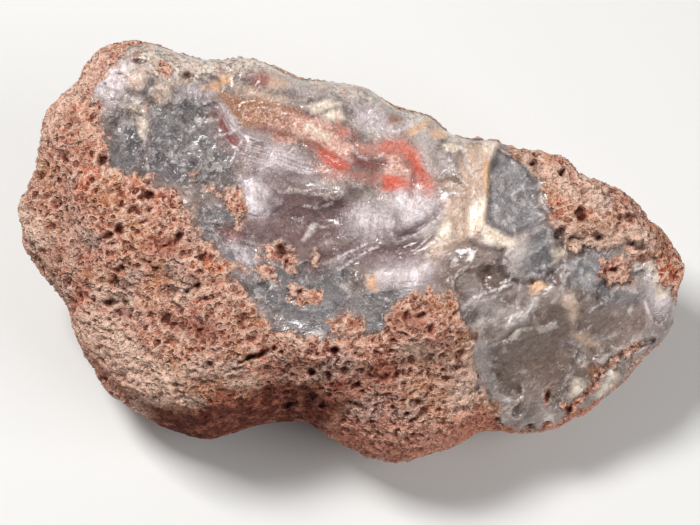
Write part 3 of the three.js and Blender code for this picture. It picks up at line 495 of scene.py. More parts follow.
def distance_to_line(places, line, closed=False):
    points = np.array(line, float)
    ends = np.roll(points, -1, axis=0) if closed else points[1:]
    least = np.full(len(places), np.inf)
    for start, end in zip(points, ends):
        run = end - start
        along = np.clip((places - start) @ run / (run @ run), 0, 1)
        least = np.minimum(least, np.linalg.norm(places - start - along[:, None] * run, axis=1))
    return least


def is_within(places, outline):
    points = np.array(outline, float)
    inside = np.zeros(len(places), bool)
    for start, end in zip(points, np.roll(points, -1, axis=0)):
        if start[1] == end[1]:
            continue
        spans = (start[1] > places[:, 1]) != (end[1] > places[:, 1])
        crossing = start[0] + (places[:, 1] - start[1]) * (end[0] - start[0]) / (end[1] - start[1])
        inside ^= spans & (places[:, 0] < crossing)
    return inside


def oval_share(places, at, half_length, half_width, turn):
    """0 at the middle of the oval and 1 on its rim, growing with the square of the distance."""
    angle = math.radians(turn)
    offset = places - np.array(at)
    along = offset @ np.array((math.cos(angle), math.sin(angle))) / half_length
    across = offset @ np.array((-math.sin(angle), math.cos(angle))) / half_width
    return along**2 + across**2


def depth_inside(places, mark):
    """How far each place is inside the mark, in millimetres; negative outside it."""
    kind = mark[0]
    if kind == "patch":
        distance = distance_to_line(places, mark[1], closed=True)
        return np.where(is_within(places, mark[1]), distance, -distance)
    if kind == "stroke":
        return mark[2] - distance_to_line(places, mark[1])
    _, at, half_length, half_width, turn = mark
    share = oval_share(places, at, half_length, half_width, turn)
    return (1 - np.sqrt(share)) * min(half_length, half_width)


def deepest(places, marks):
    return np.max([depth_inside(places, mark) for mark in marks], axis=0)


class Noise:
    """Repeatable smooth noise and scattered cells in three dimensions."""

    SEEDS = 256  # slopes and seeds to pick from, a power of two
    GAIN = 1.5  # brings the swells to about -1 to 1
    LAYER_SHIFT = 31.7
    AXIS_SHIFTS = (0.0, 57.3, 113.9)

    def __init__(self, seed):
        numbers = np.random.default_rng(seed)
        self.order = numbers.permutation(self.SEEDS)
        slopes = numbers.normal(size=(self.SEEDS, 3))
        self.slopes = slopes / np.linalg.norm(slopes, axis=1)[:, None]
        self.seeds = numbers.random((self.SEEDS, 3))

    def pick(self, cell):
        last = self.SEEDS - 1
        inner = self.order[cell[:, 0] & last]
        middle = self.order[(inner + cell[:, 1]) & last]
        return self.order[(middle + cell[:, 2]) & last]

    def smooth(self, places, size):
        """From about -1 to 1, with swells about size across."""
        scaled = places / size
        cell = np.floor(scaled).astype(int)
        within = scaled - cell
        ease = within**3 * (within * (within * 6 - 15) + 10)
        total = np.zeros(len(places))
        for corner in itertools.product((0, 1), repeat=3):
            slope = self.slopes[self.pick(cell + corner)]
            weight = np.where(corner, ease, 1 - ease).prod(axis=1)
            total += weight * ((within - corner) * slope).sum(axis=1)
        return total * self.GAIN

    def layered(self, places, size, layers, roughness=0.5):
        """Smooth noise with ever finer layers, each half the size and roughness times as strong."""
        total = np.zeros(len(places))
        for layer in range(layers):
            shrink = 0.5**layer
            total += self.smooth(places + self.LAYER_SHIFT * layer, size * shrink) * roughness**layer
        return total

    def bent(self, places, size, amount):
        """The places, each moved a little, so that what is drawn on them has wandering edges."""
        moves = [self.smooth(places + shift, size) for shift in self.AXIS_SHIFTS]
        return places + amount * np.column_stack(moves)

    def cells(self, places, size):
        """Nearest of many scattered seeds: how far, its own number from 0 to 1, and its own slant there."""
        scaled = places / size
        cell = np.floor(scaled).astype(int)
        nearest = np.full(len(places), np.inf)
        number = np.zeros(len(places))
        slant = np.zeros(len(places))
        for step in itertools.product((-1, 0, 1), repeat=3):
            other = cell + step
            index = self.pick(other)
            offset = scaled - other - self.seeds[index]
            gap = np.linalg.norm(offset, axis=1)
            closer = gap < nearest
            nearest = np.where(closer, gap, nearest)
            number = np.where(closer, index / (self.SEEDS - 1), number)
            slant = np.where(closer, (offset * self.slopes[index]).sum(axis=1), slant)
        return nearest, number, slant


# ---------------------------------------------------------------------------------------------------
# The stone's mesh
# ---------------------------------------------------------------------------------------------------
VOXEL_MM = 1.6
SIDE_LEAN = -0.5  # faces that look along w by more than this are cut finer once
FRONT_LEAN = 0.1  # and those that look along it by more than this, twice
MERGE_DISTANCE = 1e-6


def read(items, name, width=1, kind=np.float32):
    """One property of all the items, with a row for each where it has more than one number."""
    values = np.empty(len(items) * width, kind)
    items.foreach_get(name, values)
    return values.reshape(-1, width) if width > 1 else values


def mesh_places(mesh):
    return read(mesh.vertices, "co", 3).astype(float)


def set_mesh_places(mesh, places):
    mesh.vertices.foreach_set("co", places.astype(np.float32).ravel())
    mesh.update()


def mesh_normals(mesh):
    return read(mesh.vertex_normals, "vector", 3).astype(float)


def make_active(piece):
    bpy.ops.object.select_all(action="DESELECT")
    piece.select_set(True)
    bpy.context.view_layer.objects.active = piece


def apply_modifier(piece, kind, **settings):
    modifier = piece.modifiers.new(kind.title(), kind)
    for name, value in settings.items():
        setattr(modifier, name, value)
    make_active(piece)
    bpy.ops.object.modifier_apply(modifier=modifier.name)


def even_copy_of_stone():
    """A copy of the CAD stone with its doubles merged and even quads, finest where it faces the eye."""
    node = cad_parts["agate_half"]
    stone = bpy.data.objects.new("agate_half_finish", node.data.copy())
    bpy.context.scene.collection.objects.link(stone)
    stone.data.materials.clear()
    make_active(stone)
    bpy.ops.object.mode_set(mode="EDIT")
    bpy.ops.mesh.select_all(action="SELECT")
    bpy.ops.mesh.remove_doubles(threshold=MERGE_DISTANCE)
    bpy.ops.object.mode_set(mode="OBJECT")
    set_mesh_places(stone.data, mesh_places(stone.data) @ FACE_AXES.T)
    apply_modifier(stone, "REMESH", mode="VOXEL", voxel_size=VOXEL_MM * MM)
    for lean in (SIDE_LEAN, FRONT_LEAN):
        cut_finer(stone, lean)
        apply_modifier(stone, "SMOOTH", factor=0.5, iterations=2)
    set_mesh_places(stone.data, mesh_places(stone.data) @ FACE_AXES)
    return stone


def cut_finer(stone, lean):
    """Subdivide the faces that look along w by more than the lean; the mesh lies in the face frame."""
    mesh = stone.data
    mesh.polygons.foreach_set("select", read(mesh.polygons, "normal", 3)[:, 2] > lean)
    mesh.edges.foreach_set("select", np.zeros(len(mesh.edges), bool))
    mesh.vertices.foreach_set("select", np.zeros(len(mesh.vertices), bool))
    make_active(stone)
    bpy.context.tool_settings.mesh_select_mode = (False, False, True)
    bpy.ops.object.mode_set(mode="EDIT")
    bpy.ops.mesh.subdivide(number_cuts=1, smoothness=0.8)
    bpy.ops.object.mode_set(mode="OBJECT")


def standing_out(mesh, rounds):
    """How far each place stands out of the surface round it, smoothed so many times, in millimetres."""
    places = mesh_places(mesh) / MM
    edges = read(mesh.edges, "vertices", 2, np.int32)
    count = np.bincount(edges.ravel(), minlength=len(places))[:, None]
    smoothed = places.copy()
    for _ in range(rounds):
        total = np.zeros_like(places)
        for here, there in ((edges[:, 0], edges[:, 1]), (edges[:, 1], edges[:, 0])):
            for axis in range(3):
                total[:, axis] += np.bincount(here, smoothed[there, axis], len(places))
        smoothed = total / count
    return ((places - smoothed) * mesh_normals(mesh)).sum(axis=1)


# ---------------------------------------------------------------------------------------------------
# Relief of the broken face and of the rind, in millimetres
# ---------------------------------------------------------------------------------------------------
STONE_SEED = 3
SCAR_SEED = 11
CHIP_SEED = 23
TILT_SEED = 41

FACE_RANGE = ((-46, -32), (66, 38))  # least and most (u, v) of the broken face
LOWEST_FACE = -6  # the broken face lies above this w
FRONT_LEANS = (0.05, 0.4)  # the front sets in where faces look along w by this much
MARKED_FRONT = 0.15  # marks show where a place has more of the front than this
HOLED_FRONT = 0.1
LEANING_DOWN = 0.2  # the painted shade on the rind's underside lies where faces look along v by less than this
UNDERSIDE_SHADE_LOWEST = -16  # and fades below this w
UNDERSIDE_SHADE_FADE = 0.6
BEHIND = 3.0  # depth into the rind of all that isn't the front
FAR_OUTSIDE = 4.0  # depths inside marks are kept between this and its negative
SWEEP_RADIUS = 40  # the way round the blow is measured along a ring of this radius

# Depths inside the marks and the rind over which their relief sets in.
RIND_EDGE = (-0.3, 0.6)
STEP_EDGE = (-0.2, 1.6)
FROST_EDGE = (-1.5, 1.5)
CRUST_EDGE = (-1.5, 1.0)
SMOKY_EDGE = (-1.0, 2.0)
LINE_EDGE = (-0.4, 0.25)
HOLE_EDGE = (-0.3, 0.5)
UNDERSIDE_SHADE_EDGE = (-1, 2)

# How far the noise moves those edges.
RIND_WANDER = 1.4
SCAR_WANDER = 0.5
MARK_WANDER = 0.35
HOLE_WANDER = 0.5
UNDERSIDE_SHADE_WANDER = 3.0

# Scattered scars and chips. Widths are shares of the half length, and depths of the half width.
SCAR_COUNT = 110
SCAR_HALF_LENGTH = (2.2, 6.0)
SCAR_WIDTH = (0.28, 0.5)
SCAR_DEPTH = (0.12, 0.3)
SCAR_SWERVE = 14  # how far scars turn from the ripples, in degrees
SCAR_REACH = 2  # a scar's bowl runs on to this oval share
CHIP_COUNT = 420
CHIP_HALF_LENGTH = (0.6, 1.7)  # the least, and what is added to it at most
CHIP_WIDTH = (0.5, 0.9)
CHIP_DEPTH = (0.2, 0.5)
CHIP_FRINGE = (-2.5, 0.5)  # chips thin out over this depth into the frosted parts
STRAY_CHIPS = 0.06  # share of the chips that lie outside them
CLEAR_CHIP = -0.02  # chips have a tone where they are deeper than this

LARGE_SCARS = 1.2  # how much deeper the large scars are than they are listed
TONE_SHARES = (0.5, 0.6, 0.7)  # of the large, middling and small scars
CRUST_CHIPPING = 0.7  # how crumbly the crust is, for 1 where the face is frosted
SMOKY_CALM = 0.65  # share of the scars that is missing on the smoky parts
UNDERSIDE_SHADE_CALM = 0.45  # share of the rind's relief that is missing under the painted underside shade
FLOW_STRETCH = 0.3  # how much shorter a ripple's pattern is across it than along it
CRUMB_HEIGHT = 0.16
LINE_HEIGHT = 0.14
RISE_INSIDE = 0.4  # share of a lump's slope that lies inside its outline
FALL_OUTSIDE = 0.6  # share of a crack's slope that lies outside it
CREST_ROUNDS = 6

# The rind: ridges between its broad lumps, and gas pits. Coarse to fine, the pits have a spacing, a depth
# as a share of the deepest, and a share of the cells that hold one.
RIDGE_TOP = 0.35
PITS = (
    (3.3, 1.0, 0.4),
    (2.1, 0.8, 0.7),
    (1.3, 0.5, 1.0),
)
PIT_STRETCH = (1.3, 1.0, 1.0)
PIT_SHIFT = 11.3  # sets the pits of each spacing apart
PIT_RADIUS = (0.26, 0.3)  # the least, and what is added at most, for a spacing of 1
PIT_DEPTHS = (0.55, 0.45)  # on fine rind, and what is added on coarse rind
RIM_RADIUS = 1.12  # of the rim round a pit, for a pit of 1
RIM_WIDTH = 0.1
RIM_HEIGHT = 0.14


def rind_depth(seen, places, noise, front):
    """How far each place is into the rind from the bare agate, in millimetres; negative on the agate."""
    ragged = noise.layered(places, size=3.4, layers=4, roughness=0.72) * RIND_WANDER
    on_front = np.maximum(-depth_inside(seen, AGATE_WINDOW), deepest(seen, RIND_ISLANDS)) + ragged
    return np.where(front > MARKED_FRONT, on_front, np.maximum(on_front, BEHIND))


def ring_and_sweep(seen):
    """Distance from where the blow fell, and the way round it, both in millimetres."""
    offset = seen - np.array(RIPPLE_CENTRE)
    return np.linalg.norm(offset, axis=1), np.arctan2(offset[:, 0], -offset[:, 1]) * SWEEP_RADIUS


def scattered_scars():
    """Middling flake scars that follow the ripples."""
    numbers = np.random.default_rng(SCAR_SEED)
    scars = []
    for _ in range(SCAR_COUNT):
        at = numbers.uniform(*FACE_RANGE)
        along_ripple = math.degrees(math.atan2(at[0] - RIPPLE_CENTRE[0], RIPPLE_CENTRE[1] - at[1]))
        half_length = numbers.uniform(*SCAR_HALF_LENGTH)
        half_width = half_length * numbers.uniform(*SCAR_WIDTH)
        turn = along_ripple + numbers.normal(0, SCAR_SWERVE)
        depth = half_width * numbers.uniform(*SCAR_DEPTH)
        scars.append((at, half_length, half_width, turn, depth))
    return scars


def scattered_chips():
    """Small chips, nearly all of them where the face is frosted, that lie anyhow."""
    numbers = np.random.default_rng(CHIP_SEED)
    least, more = CHIP_HALF_LENGTH
    chips = []
    while len(chips) < CHIP_COUNT:
        at = numbers.uniform(*FACE_RANGE)
        outside = deepest(at[None], MARKS["frost"])[0] < numbers.uniform(*CHIP_FRINGE)
        if outside and numbers.random() > STRAY_CHIPS:
            continue
        half_length = least + more * numbers.random() ** 2
        half_width = half_length * numbers.uniform(*CHIP_WIDTH)
        turn = numbers.uniform(0, 180)
        depth = half_width * numbers.uniform(*CHIP_DEPTH)
        chips.append((at, half_length, half_width, turn, depth))
    return chips


def lowest_scar(seen, scars, numbers, lean):
    """The broken surface that the scars leave, and a number from -1 to 1 for the scar each place lies in."""
    lowest = np.zeros(len(seen))
    tone = np.zeros(len(seen))
    for at, half_length, half_width, turn, depth in scars:
        tilt = numbers.normal(size=2) * lean * depth / half_width
        share = oval_share(seen, at, half_length, half_width, turn)
        height = -depth * (1 - share) + (seen - np.array(at)) @ tilt
        number = numbers.uniform(-1, 1)
        deeper = (height < lowest) & (share < SCAR_REACH)
        lowest = np.where(deeper, height, lowest)
        tone = np.where(deeper, number, tone)
    return lowest, tone


def agate_relief(seen, places, chipped, noise, ripple_height):
    """Scars large and small, faint ripples round the blow and crumbs, and each place's tone."""
    numbers = np.random.default_rng(TILT_SEED)
    wander = [noise.layered(places + shift, size=4.0, layers=2) for shift in (0, 50)]
    wandering = seen + SCAR_WANDER * np.column_stack(wander)
    large, large_tone = lowest_scar(wandering, SCARS, numbers, lean=0.35)
    middling, middling_tone = lowest_scar(wandering, scattered_scars(), numbers, lean=0.5)
    small, small_tone = lowest_scar(wandering, scattered_chips(), numbers, lean=0.6)
    calm = 1 - SMOKY_CALM * smooth_step(*SMOKY_EDGE, deepest(seen, MARKS["smoky"]))
    relief = large * LARGE_SCARS + middling * calm + small
    of_large, of_middling, of_small = TONE_SHARES
    tone = of_large * large_tone + of_middling * middling_tone * calm
    tone += of_small * small_tone * (small < CLEAR_CHIP)

    ring, sweep = ring_and_sweep(seen)
    flow = np.column_stack((ring, sweep * FLOW_STRETCH, places[:, 2] * FLOW_STRETCH))
    relief += ripple_height * noise.layered(flow, size=2.4, layers=2)
    _, _, slant = noise.cells(noise.bent(places, size=2.0, amount=0.8), size=2.4)
    relief += CRUMB_HEIGHT * slant * chipped
    return relief, tone


def marked_relief(seen, places, noise):
    """Lumps, ridges, raised lines, cracks and steps that are placed one by one."""
    wander = noise.layered(places, size=1.8, layers=2) * MARK_WANDER
    relief = np.zeros(len(seen))
    for mark, height, slope in RAISED:
        inside = depth_inside(seen, mark) + wander
        relief = np.maximum(relief, height * smooth_step(-slope, slope * RISE_INSIDE, inside))
    on_line = smooth_step(*LINE_EDGE, deepest(seen, MARKS["line"]) + wander)
    relief = np.maximum(relief, LINE_HEIGHT * on_line)
    for mark, depth, slope in SUNK:
        inside = depth_inside(seen, mark) + wander
        relief -= depth * smooth_step(-slope * FALL_OUTSIDE, slope * (1 - FALL_OUTSIDE), inside)
    return relief


def rind_relief(places, noise, lump_height, ridge_height, pit_depth):
    """Lumps and gas pits of the rind, and how deep in a pit each place is, from 0 to 1."""
    drawn_out = noise.bent(places, size=3.0, amount=0.9) / np.array(PIT_STRETCH)
    coarse = smooth_step(-0.5, 0.5, noise.smooth(places, size=14.0))
    relief = noise.layered(places, size=9.0, layers=2) * lump_height
    ridges = RIDGE_TOP - np.abs(noise.layered(places, size=3.0, layers=4, roughness=0.65))
    relief += ridges * ridge_height
    pits = np.zeros(len(places))
    least_radius, more_radius = PIT_RADIUS
    on_fine, on_coarse = PIT_DEPTHS
    for size, depth_share, share in PITS:
        depth = depth_share * pit_depth
        gap, number, _ = noise.cells(drawn_out + PIT_SHIFT * size, size)
        radius = least_radius + more_radius * np.abs(2 * number - 1)
        here = (number < share) * (on_fine + on_coarse * coarse)
        bowl = np.clip(1 - (gap / radius) ** 2, 0, 1) * here
        rim = np.exp(-(((gap - radius * RIM_RADIUS) / RIM_WIDTH) ** 2)) * here
        relief += rim * RIM_HEIGHT * depth - bowl * depth
        pits = np.maximum(pits, bowl)
    return relief, pits


def in_mm(length):
    """A length among the settings in millimetres, to the nearest nanometre."""
    return round(length / MM, 6)


def shape_stone(stone, settings):
    """Break the face, pit the rind, and store on the mesh what the materials read."""
    mesh = stone.data
    noise = Noise(STONE_SEED)
    places = to_face(mesh_places(mesh))
    normals = mesh_normals(mesh) @ FACE_AXES.T
    seen = as_seen(places)
    inside = {name: deepest(seen, marks) for name, marks in MARKS.items()}

    front = smooth_step(*FRONT_LEANS, normals[:, 2]) * (places[:, 2] > LOWEST_FACE)
    depth = rind_depth(seen, places, noise, front)
    rind = smooth_step(*RIND_EDGE, depth)
    chipped = smooth_step(*FROST_EDGE, inside["frost"])
    chipped = np.maximum(chipped, CRUST_CHIPPING * smooth_step(*CRUST_EDGE, inside["crust"]))
    in_hole = deepest(seen, HOLES) + HOLE_WANDER * noise.layered(places, size=1.6, layers=2)
    hole = smooth_step(*HOLE_EDGE, in_hole) * (front > HOLED_FRONT)
    # Painted shade on the rind's underside: where faces look down, fading again below a given w.
    below = np.minimum(places[:, 2] - UNDERSIDE_SHADE_LOWEST, 0)
    in_shade = inside["underside_shade"] + UNDERSIDE_SHADE_WANDER * noise.layered(places, size=11.0, layers=2)
    in_shade += below * UNDERSIDE_SHADE_FADE
    underside_shade = smooth_step(*UNDERSIDE_SHADE_EDGE, in_shade) * (normals[:, 1] < LEANING_DOWN)

    of_rind = (settings.lump_height, settings.ridge_height, settings.pit_depth)
    lumps, pits = rind_relief(places, noise, *(in_mm(height) for height in of_rind))
    lumps *= 1 - UNDERSIDE_SHADE_CALM * underside_shade
    broken, tone = agate_relief(seen, places, chipped, noise, in_mm(settings.ripple_height))
    along_w = broken * (1 - rind) * front
    along_w += marked_relief(seen, places, noise) * front
    step = in_mm(settings.rind_step) * smooth_step(*STEP_EDGE, depth) * front
    along_w += step - in_mm(settings.hole_depth) * hole
    places[:, 2] += along_w
    places += normals * (lumps * rind)[:, None]

    row_places = from_face(places)
    row_places[:, 2] = np.maximum(row_places[:, 2], 0.0)
    set_mesh_places(mesh, row_places)

    values = {name: np.where(front > MARKED_FRONT, deep, -FAR_OUTSIDE) for name, deep in inside.items()}
    values["underside_shade"] = in_shade
    values = {name: np.clip(deep, -FAR_OUTSIDE, FAR_OUTSIDE) for name, deep in values.items()}
    ring, sweep = ring_and_sweep(seen)
    values |= {
        "rind": depth,
        "pit": pits * rind,
        "hole": hole,
        "tone": tone,
        "crest": standing_out(mesh, CREST_ROUNDS),
        "band": distance_to_line(seen, BAND_LINE),
        "ring": ring,
        "sweep": sweep,
        "across": seen[:, 0],
        "up": seen[:, 1],
    }
    for name, numbers in values.items():
        attribute = mesh.attributes.new(name, "FLOAT", "POINT")
        attribute.data.foreach_set("value", numbers.astype(np.float32))


# ---------------------------------------------------------------------------------------------------
# Materials
# ---------------------------------------------------------------------------------------------------
def linear(red, green, blue):
    """A screen colour in linear light, with full cover."""
    return tuple(((c / 255 + 0.055) / 1.055) ** 2.4 for c in (red, green, blue)) + (1.0,)


# Colours as they look on a screen, from 0 to 255.
SCREEN_COLOURS = {
    "grey": (158, 139, 131),
    # dark grey chalcedony, also the painted shade in the hollows of the broken face
    "grey_dark_and_shade": (114, 97, 90),
    "mauve": (118, 90, 88),
    "blue": (115, 111, 112),
    "slate": (160, 157, 158),
    "smoky": (121, 100, 88),
    "haze": (194, 180, 174),
    "tan": (214, 182, 158),
    "amber": (156, 100, 58),
    "lavender": (205, 188, 191),
    "frost": (222, 210, 204),
    "white": (238, 226, 228),
    "cream": (250, 236, 218),
    "red": (212, 92, 68),
    "coral": (212, 120, 102),
    "rose": (172, 108, 96),
    "maroon": (134, 66, 60),
    "orange": (236, 186, 142),
    "pink": (213, 158, 142),
    "druse": (246, 224, 206),
    # dark rind, also the painted shade in the rind's bubbles, hollows and pits
    "rind_dark_and_shade": (104, 47, 34),
    "rind": (180, 111, 86),
    "rind_tan": (212, 161, 138),
    # pale cream of the rind, also its painted highlights on bubble lips and crests
    "rind_cream_and_highlight": (238, 203, 182),
    "rind_grey": (178, 148, 138),
    "rind_warm": (214, 128, 104),
    "rind_red": (178, 84, 62),
    "rind_ochre": (184, 122, 80),
    "stain": (206, 92, 48),
    # painted shade on the rind's underside
    "underside_shade": (88, 28, 20),
    # painted shade inside the deep holes
    "hole": (72, 33, 23),
}
COLOURS = {name: linear(*levels) for name, levels in SCREEN_COLOURS.items()}

# Noise patterns: scale to the millimetre, finer layers, roughness and distortion.
PATTERNS = {
    "clouds": (0.16, 3, 0.6, 0.0),
    "shadows": (0.3, 3, 0.6, 0.0),
    "broken": (0.5, 3, 0.6, 0.0),
    "ragged": (0.6, 4, 0.68, 0.0),
    "fine": (1.5, 4, 0.7, 0.0),
    "grain": (2.6, 3, 0.7, 0.0),
    "streaks": (1.0, 4, 0.65, 0.0),
    "mottle": (0.9, 4, 0.75, 0.0),
    "brown": (0.45, 4, 0.75, 0.0),
    "growth": (1.7, 2, 0.65, 0.0),
    "fibres": (1.0, 4, 0.7, 1.6),
    "slabs": (1.0, 3, 0.6, 0.8),
    "rind shades": (0.1, 3, 0.65, 0.0),
    "rind patches": (0.25, 3, 0.6, 0.0),
    "rind middle": (0.4, 4, 0.7, 0.0),
    "rind fine": (1.7, 4, 0.7, 0.0),
    "frayed": (0.9, 4, 0.78, 0.0),
    "grit": (4.5, 2, 0.65, 0.0),
}

# How marks are laid on, under the kind of mark and a word more where it is laid on twice: how soft the edge
# is, how strong the colour gets, how ragged the edge is and how far inside the outline it lies.
EDGES = {
    "smoky": (2.2, 0.95, 1.7, 0.0),
    "haze": (1.6, 0.85, 1.7, 0.0),
    "blue": (1.2, 0.9, 1.7, 0.0),
    "slate": (0.7, 0.9, 1.7, 0.0),
    "lavender": (1.5, 0.85, 1.7, 0.0),
    "lavender growth": (1.4, 1.0, 1.7, 0.0),
    "mauve": (1.6, 0.9, 1.7, 0.0),
    "tan": (1.2, 0.85, 1.7, 0.0),
    "tan cracks": (1.4, 1.0, 1.7, 0.0),
    "pink": (1.4, 0.8, 1.7, 0.0),
    "frost": (1.6, 1.0, 5.0, 0.0),
    "crust": (1.2, 1.0, 4.0, 0.0),
    "rose": (1.2, 0.65, 2.6, 0.0),
    "amber": (1.0, 0.9, 1.7, 0.0),
    "druse": (0.8, 0.95, 4.0, 0.0),
    "white halo": (2.6, 0.5, 3.4, -1.6),
    "white": (1.6, 0.95, 3.8, 0.0),
    "cream": (0.8, 0.95, 1.7, 0.0),
    "flake": (0.4, 0.58, 1.6, 0.05),
    "coral glow": (2.4, 0.6, 2.0, -0.3),
    "coral": (0.8, 0.88, 2.8, 0.0),
    "red": (0.8, 0.85, 2.6, 0.0),
    "maroon": (1.0, 0.8, 2.6, 0.0),
    "orange": (0.7, 0.85, 3.2, 0.0),
    "line": (0.22, 0.65, 1.1, 0.08),
    "stain": (1.0, 0.8, 4.0, 0.0),
    "ash": (0.5, 0.8, 4.0, 0.0),
    "warm": (2.2, 0.45, 4.0, 0.0),
    "pale": (1.8, 1.0, 4.0, 0.0),
    # the next two are painted shade: in the rind's recesses, and on its underside
    "recess_shade": (1.6, 0.75, 4.0, 0.0),
    "underside_shade": (1.8, 0.9, 4.0, 0.0),
}
BROAD_MARKS = ("smoky", "haze", "blue", "slate", "lavender", "mauve", "tan", "pink")

QUARTZ_IOR = 1.54
GLOW_RADIUS = (1.0, 0.75, 0.65)  # how far light spreads under the surface, in red, green and blue
GLOW_MM = 1.2
GLOSS_ROUGHNESS = 0.08
RIND_ROUGHNESS = 0.85
RIND_FRAY = 4.0  # how far the rind's edge is frayed, in millimetres
RIND_TURN = (-0.12, 0.2)  # depth into the rind over which it takes the agate's place
GRIT_SHARES = (0.22, 0.36)  # of the fine grit on the agate and on the rind
# share of painted shade inside the deep holes
HOLE_SHADE = 0.85


class Tree:
    """Adds and links the nodes of one node tree."""

    def __init__(self, tree):
        self.tree = tree

    def fill(self, node, inputs):
        """Give each named input of the node a link, a colour by its name, or a plain value."""
        for name, value in inputs.items():
            socket = node.inputs[name]
            if isinstance(value, bpy.types.NodeSocket):
                self.tree.links.new(value, socket)
            elif isinstance(value, str):
                socket.default_value = COLOURS[value]
            else:
                socket.default_value = value

    def add(self, kind, inputs=None, **settings):
        node = self.tree.nodes.new(kind)
        for name, value in settings.items():
            setattr(node, name, value)
        self.fill(node, inputs or {})
        return node

    def attribute(self, name):
        return self.add("ShaderNodeAttribute", attribute_name=name).outputs["Fac"]

    def math(self, operation, first, second=0.0, third=0.0):
        inputs = {0: first, 1: second, 2: third}
        return self.add("ShaderNodeMath", inputs, operation=operation).outputs[0]

    def times(self, total, *values):
        for value in values:
            total = self.math("MULTIPLY", total, value)
        return total

    def highest(self, total, *values):
        for value in values:
            total = self.math("MAXIMUM", total, value)
        return total

    def plus(self, total, *parts):
        """The total and all the parts, each given as a value and its weight."""
        for value, weight in parts:
            total = self.math("MULTIPLY_ADD", value, weight, total)
        return total

    def grown(self, share, least, most):
        """A number that grows in a straight line from its least at share 0 to its most at 1."""
        return self.plus(least, (share, most - least))

    def between(self, value, low, high, least=0.0, most=1.0):
        """A number that eases from its least where the value is low to its most where it is high."""
        inputs = {"Value": value, "From Min": low, "From Max": high, "To Min": least, "To Max": most}
        node = self.add("ShaderNodeMapRange", inputs, interpolation_type="SMOOTHSTEP")
        return node.outputs["Result"]

    def threads(self, pattern, level, width, most=1.0):
        """Thin lines where the pattern crosses a level."""
        off = self.math("ABSOLUTE", self.math("SUBTRACT", pattern, level))
        return self.between(off, width, 0.0, most=most)

    def vector(self, operation, first, second):
        return self.add("ShaderNodeVectorMath", {0: first, 1: second}, operation=operation)

    def stretched(self, place, scale):
        return self.add("ShaderNodeMapping", {"Vector": place, "Scale": scale}).outputs[0]

    def flat_place(self, first, second):
        return self.add("ShaderNodeCombineXYZ", {0: first, 1: second}).outputs[0]

    def noise(self, place, scale, detail, roughness, distortion=0.0, output="Fac"):
        inputs = {
            "Vector": place,
            "Scale": scale,
            "Detail": detail,
            "Roughness": roughness,
            "Distortion": distortion,
        }
        return self.add("ShaderNodeTexNoise", inputs).outputs[output]

    def bent(self, place, scale, amount):
        """The place, moved by noise by up to half the amount, in millimetres."""
        wander = self.noise(place, scale, detail=2, roughness=0.55, output="Color")
        move = self.vector("SUBTRACT", wander, (0.5, 0.5, 0.5)).outputs[0]
        grown = self.add("ShaderNodeVectorMath", {0: move, "Scale": amount * 2}, operation="SCALE")
        return self.vector("ADD", place, grown.outputs[0]).outputs[0]

    def cells(self, place, scale):
        """Scattered cells: their outputs, and each one's own number from 0 to 1."""
        cells = self.add("ShaderNodeTexVoronoi", {"Vector": place, "Scale": scale}).outputs
        return cells, self.add("ShaderNodeSeparateColor", {"Color": cells["Color"]}).outputs[0]

    def shards(self, place, scale):
        """Slanted facets: their height in millimetres, and each one's own number from 0 to 1."""
        cells, number = self.cells(place, scale)
        offset = self.vector("SUBTRACT", place, cells["Position"]).outputs[0]
        slant = self.vector("SUBTRACT", cells["Color"], (0.5, 0.5, 0.5)).outputs[0]
        return self.vector("DOT_PRODUCT", offset, slant).outputs["Value"], number

    def bubbles(self, place, scale):
        """Round bubbles of mixed sizes: how deep inside one, and how near its lip."""
        cells, number = self.cells(place, scale)
        radius = self.grown(number, 0.24, 0.56)
        reach = self.math("DIVIDE", cells["Distance"], radius)
        lip = self.times(self.between(reach, 0.85, 1.05), self.between(reach, 1.5, 1.2))
        return self.between(reach, 1.0, 0.5), lip

    def mix(self, share, first, second, blend="MIX"):
        node = self.add("ShaderNodeMix", data_type="RGBA", blend_type=blend)
        self.fill(node, {0: share, 6: first, 7: second})
        return node.outputs[2]


class Surface(Tree):
    """One kind of stone: its patterns, and its colour as it is laid on layer by layer."""

    def __init__(self, tree, place):
        super().__init__(tree)
        self.place = place

    def pattern(self, name, place=None, output="Fac"):
        return self.noise(place or self.place, *PATTERNS[name], output)

    def marked(self, name):
        """Share of the marks at each place, from 0 outside them to their strength inside."""
        soft, strength, ragged, shift = EDGES[name]
        inside = self.plus(self.attribute(name.split()[0]), (self.ragged, ragged))
        return self.between(inside, shift - soft, shift + soft, most=strength)

    def lay(self, share, colour, blend="MIX"):
        self.colour = self.mix(share, self.colour, colour, blend)

    def darken(self, share, colour):
        self.lay(share, colour, "MULTIPLY")

    def lay_marks(self, *names):
        """Lay on marks in their own colour."""
        for name in names:
            self.lay(self.marked(name), name)


